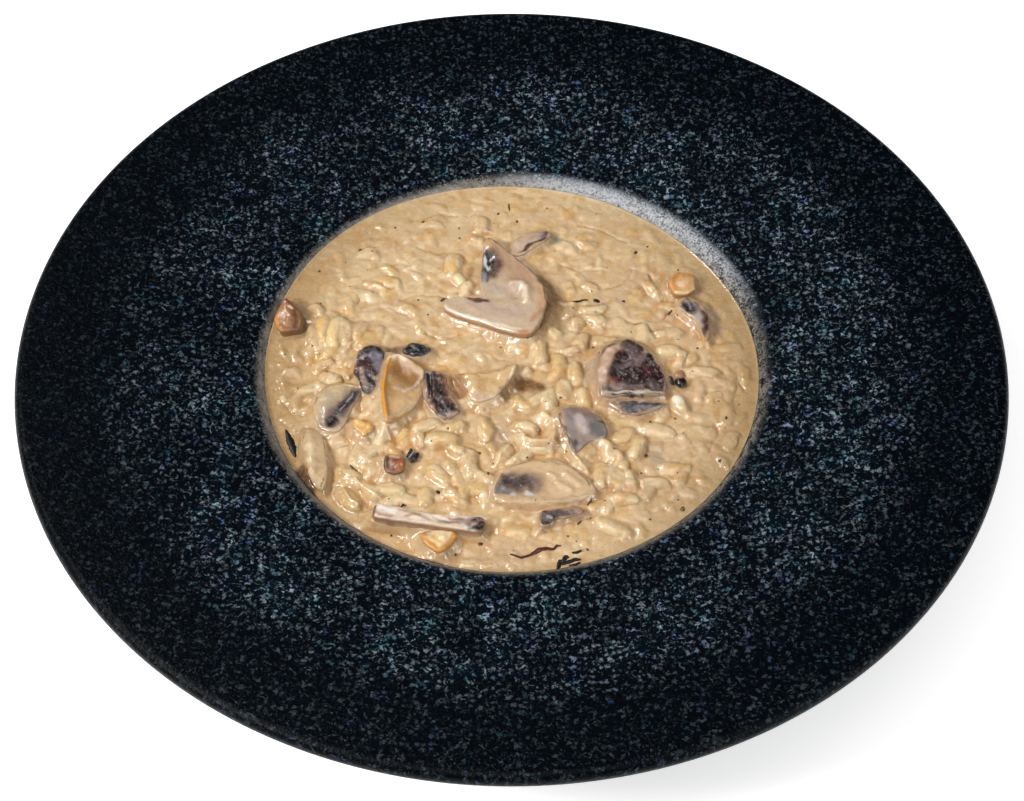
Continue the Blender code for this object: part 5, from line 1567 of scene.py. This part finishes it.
# Name, place, width, height, watts and colour.
LIGHTS = (
    ("key_softbox", (-0.9, -0.48, 0.92), 0.3, 0.3, 13.4, (1.0, 0.98, 0.95)),
    ("back_left_softbox", (-0.6, 0.34, 1.0), 0.2, 0.2, 4.6, (1.0, 0.99, 0.97)),
    ("right_card", (0.8, -0.6, 0.5), 0.3, 0.3, 3.0, (1.0, 1.0, 1.0)),
    ("top_softbox", (0.0, -0.35, 1.3), 1.0, 0.8, 5.6, (1.0, 0.985, 0.96)),
)
LIT_PLACE = Vector((0, 0, 0.04))
TABLE_HALF = 3000

CAMERA_TARGET = Vector((0.0001, -0.01458, 0.040))
CAMERA_ELEVATION = math.radians(51.26)
CAMERA_DISTANCE = 0.6611


def make_stage():
    """A plain white table under soft lights."""
    corners = [(x * TABLE_HALF, y * TABLE_HALF, 0) for x, y in ((-1, -1), (1, -1), (1, 1), (-1, 1))]
    mesh_object("table_top", corners, [(0, 1, 2, 3)], white_table(), None)
    world = bpy.data.worlds.new("soft_room")
    bpy.context.scene.world = world
    world.use_nodes = True
    sky = world.node_tree.nodes["Background"]
    fit(world.node_tree, sky, {"Color": (0.9, 0.95, 1.0, 1.0), "Strength": 0.05})
    for name, place, width, height, watts, colour in LIGHTS:
        data = bpy.data.lights.new(name, "AREA")
        data.shape = "RECTANGLE"
        data.size, data.size_y = width, height
        data.energy = watts
        data.color = colour
        light = bpy.data.objects.new(name, data)
        light.location = place
        light.rotation_euler = (LIT_PLACE - Vector(place)).to_track_quat("-Z", "Y").to_euler()
        bpy.context.scene.collection.objects.link(light)
    bpy.context.scene.view_settings.view_transform = "Standard"


def make_camera():
    """Looks along +Y and 51 degrees down, from two thirds of a metre, as a diner leaning in."""
    data = bpy.data.cameras.new("table_view")
    data.sensor_width = 36.0
    data.lens = 82.5
    data.clip_start = 0.01
    camera = bpy.data.objects.new("table_view", data)
    back = Vector((0, -math.cos(CAMERA_ELEVATION), math.sin(CAMERA_ELEVATION)))
    camera.location = CAMERA_TARGET + CAMERA_DISTANCE * back
    camera.rotation_euler = (math.pi / 2 - CAMERA_ELEVATION, 0, 0)
    bpy.context.scene.collection.objects.link(camera)
    bpy.context.scene.camera = camera


def main():
    make_camera()
    make_stage()
    make_plate()
    pieces = mushroom_pieces()
    rows = grain_rows()
    field, warmth, stain_and_shade = risotto_field(pieces, rows)
    means = soften(field, 1.5), soften(field, 0.6), soften(warmth, 0.4), soften(stain_and_shade, 0.3)
    make_sauce(field, means)
    make_rice(field, means, rows)
    make_mushrooms(field, means, pieces)
    make_crumbs(field)
    make_herbs(field)


main()
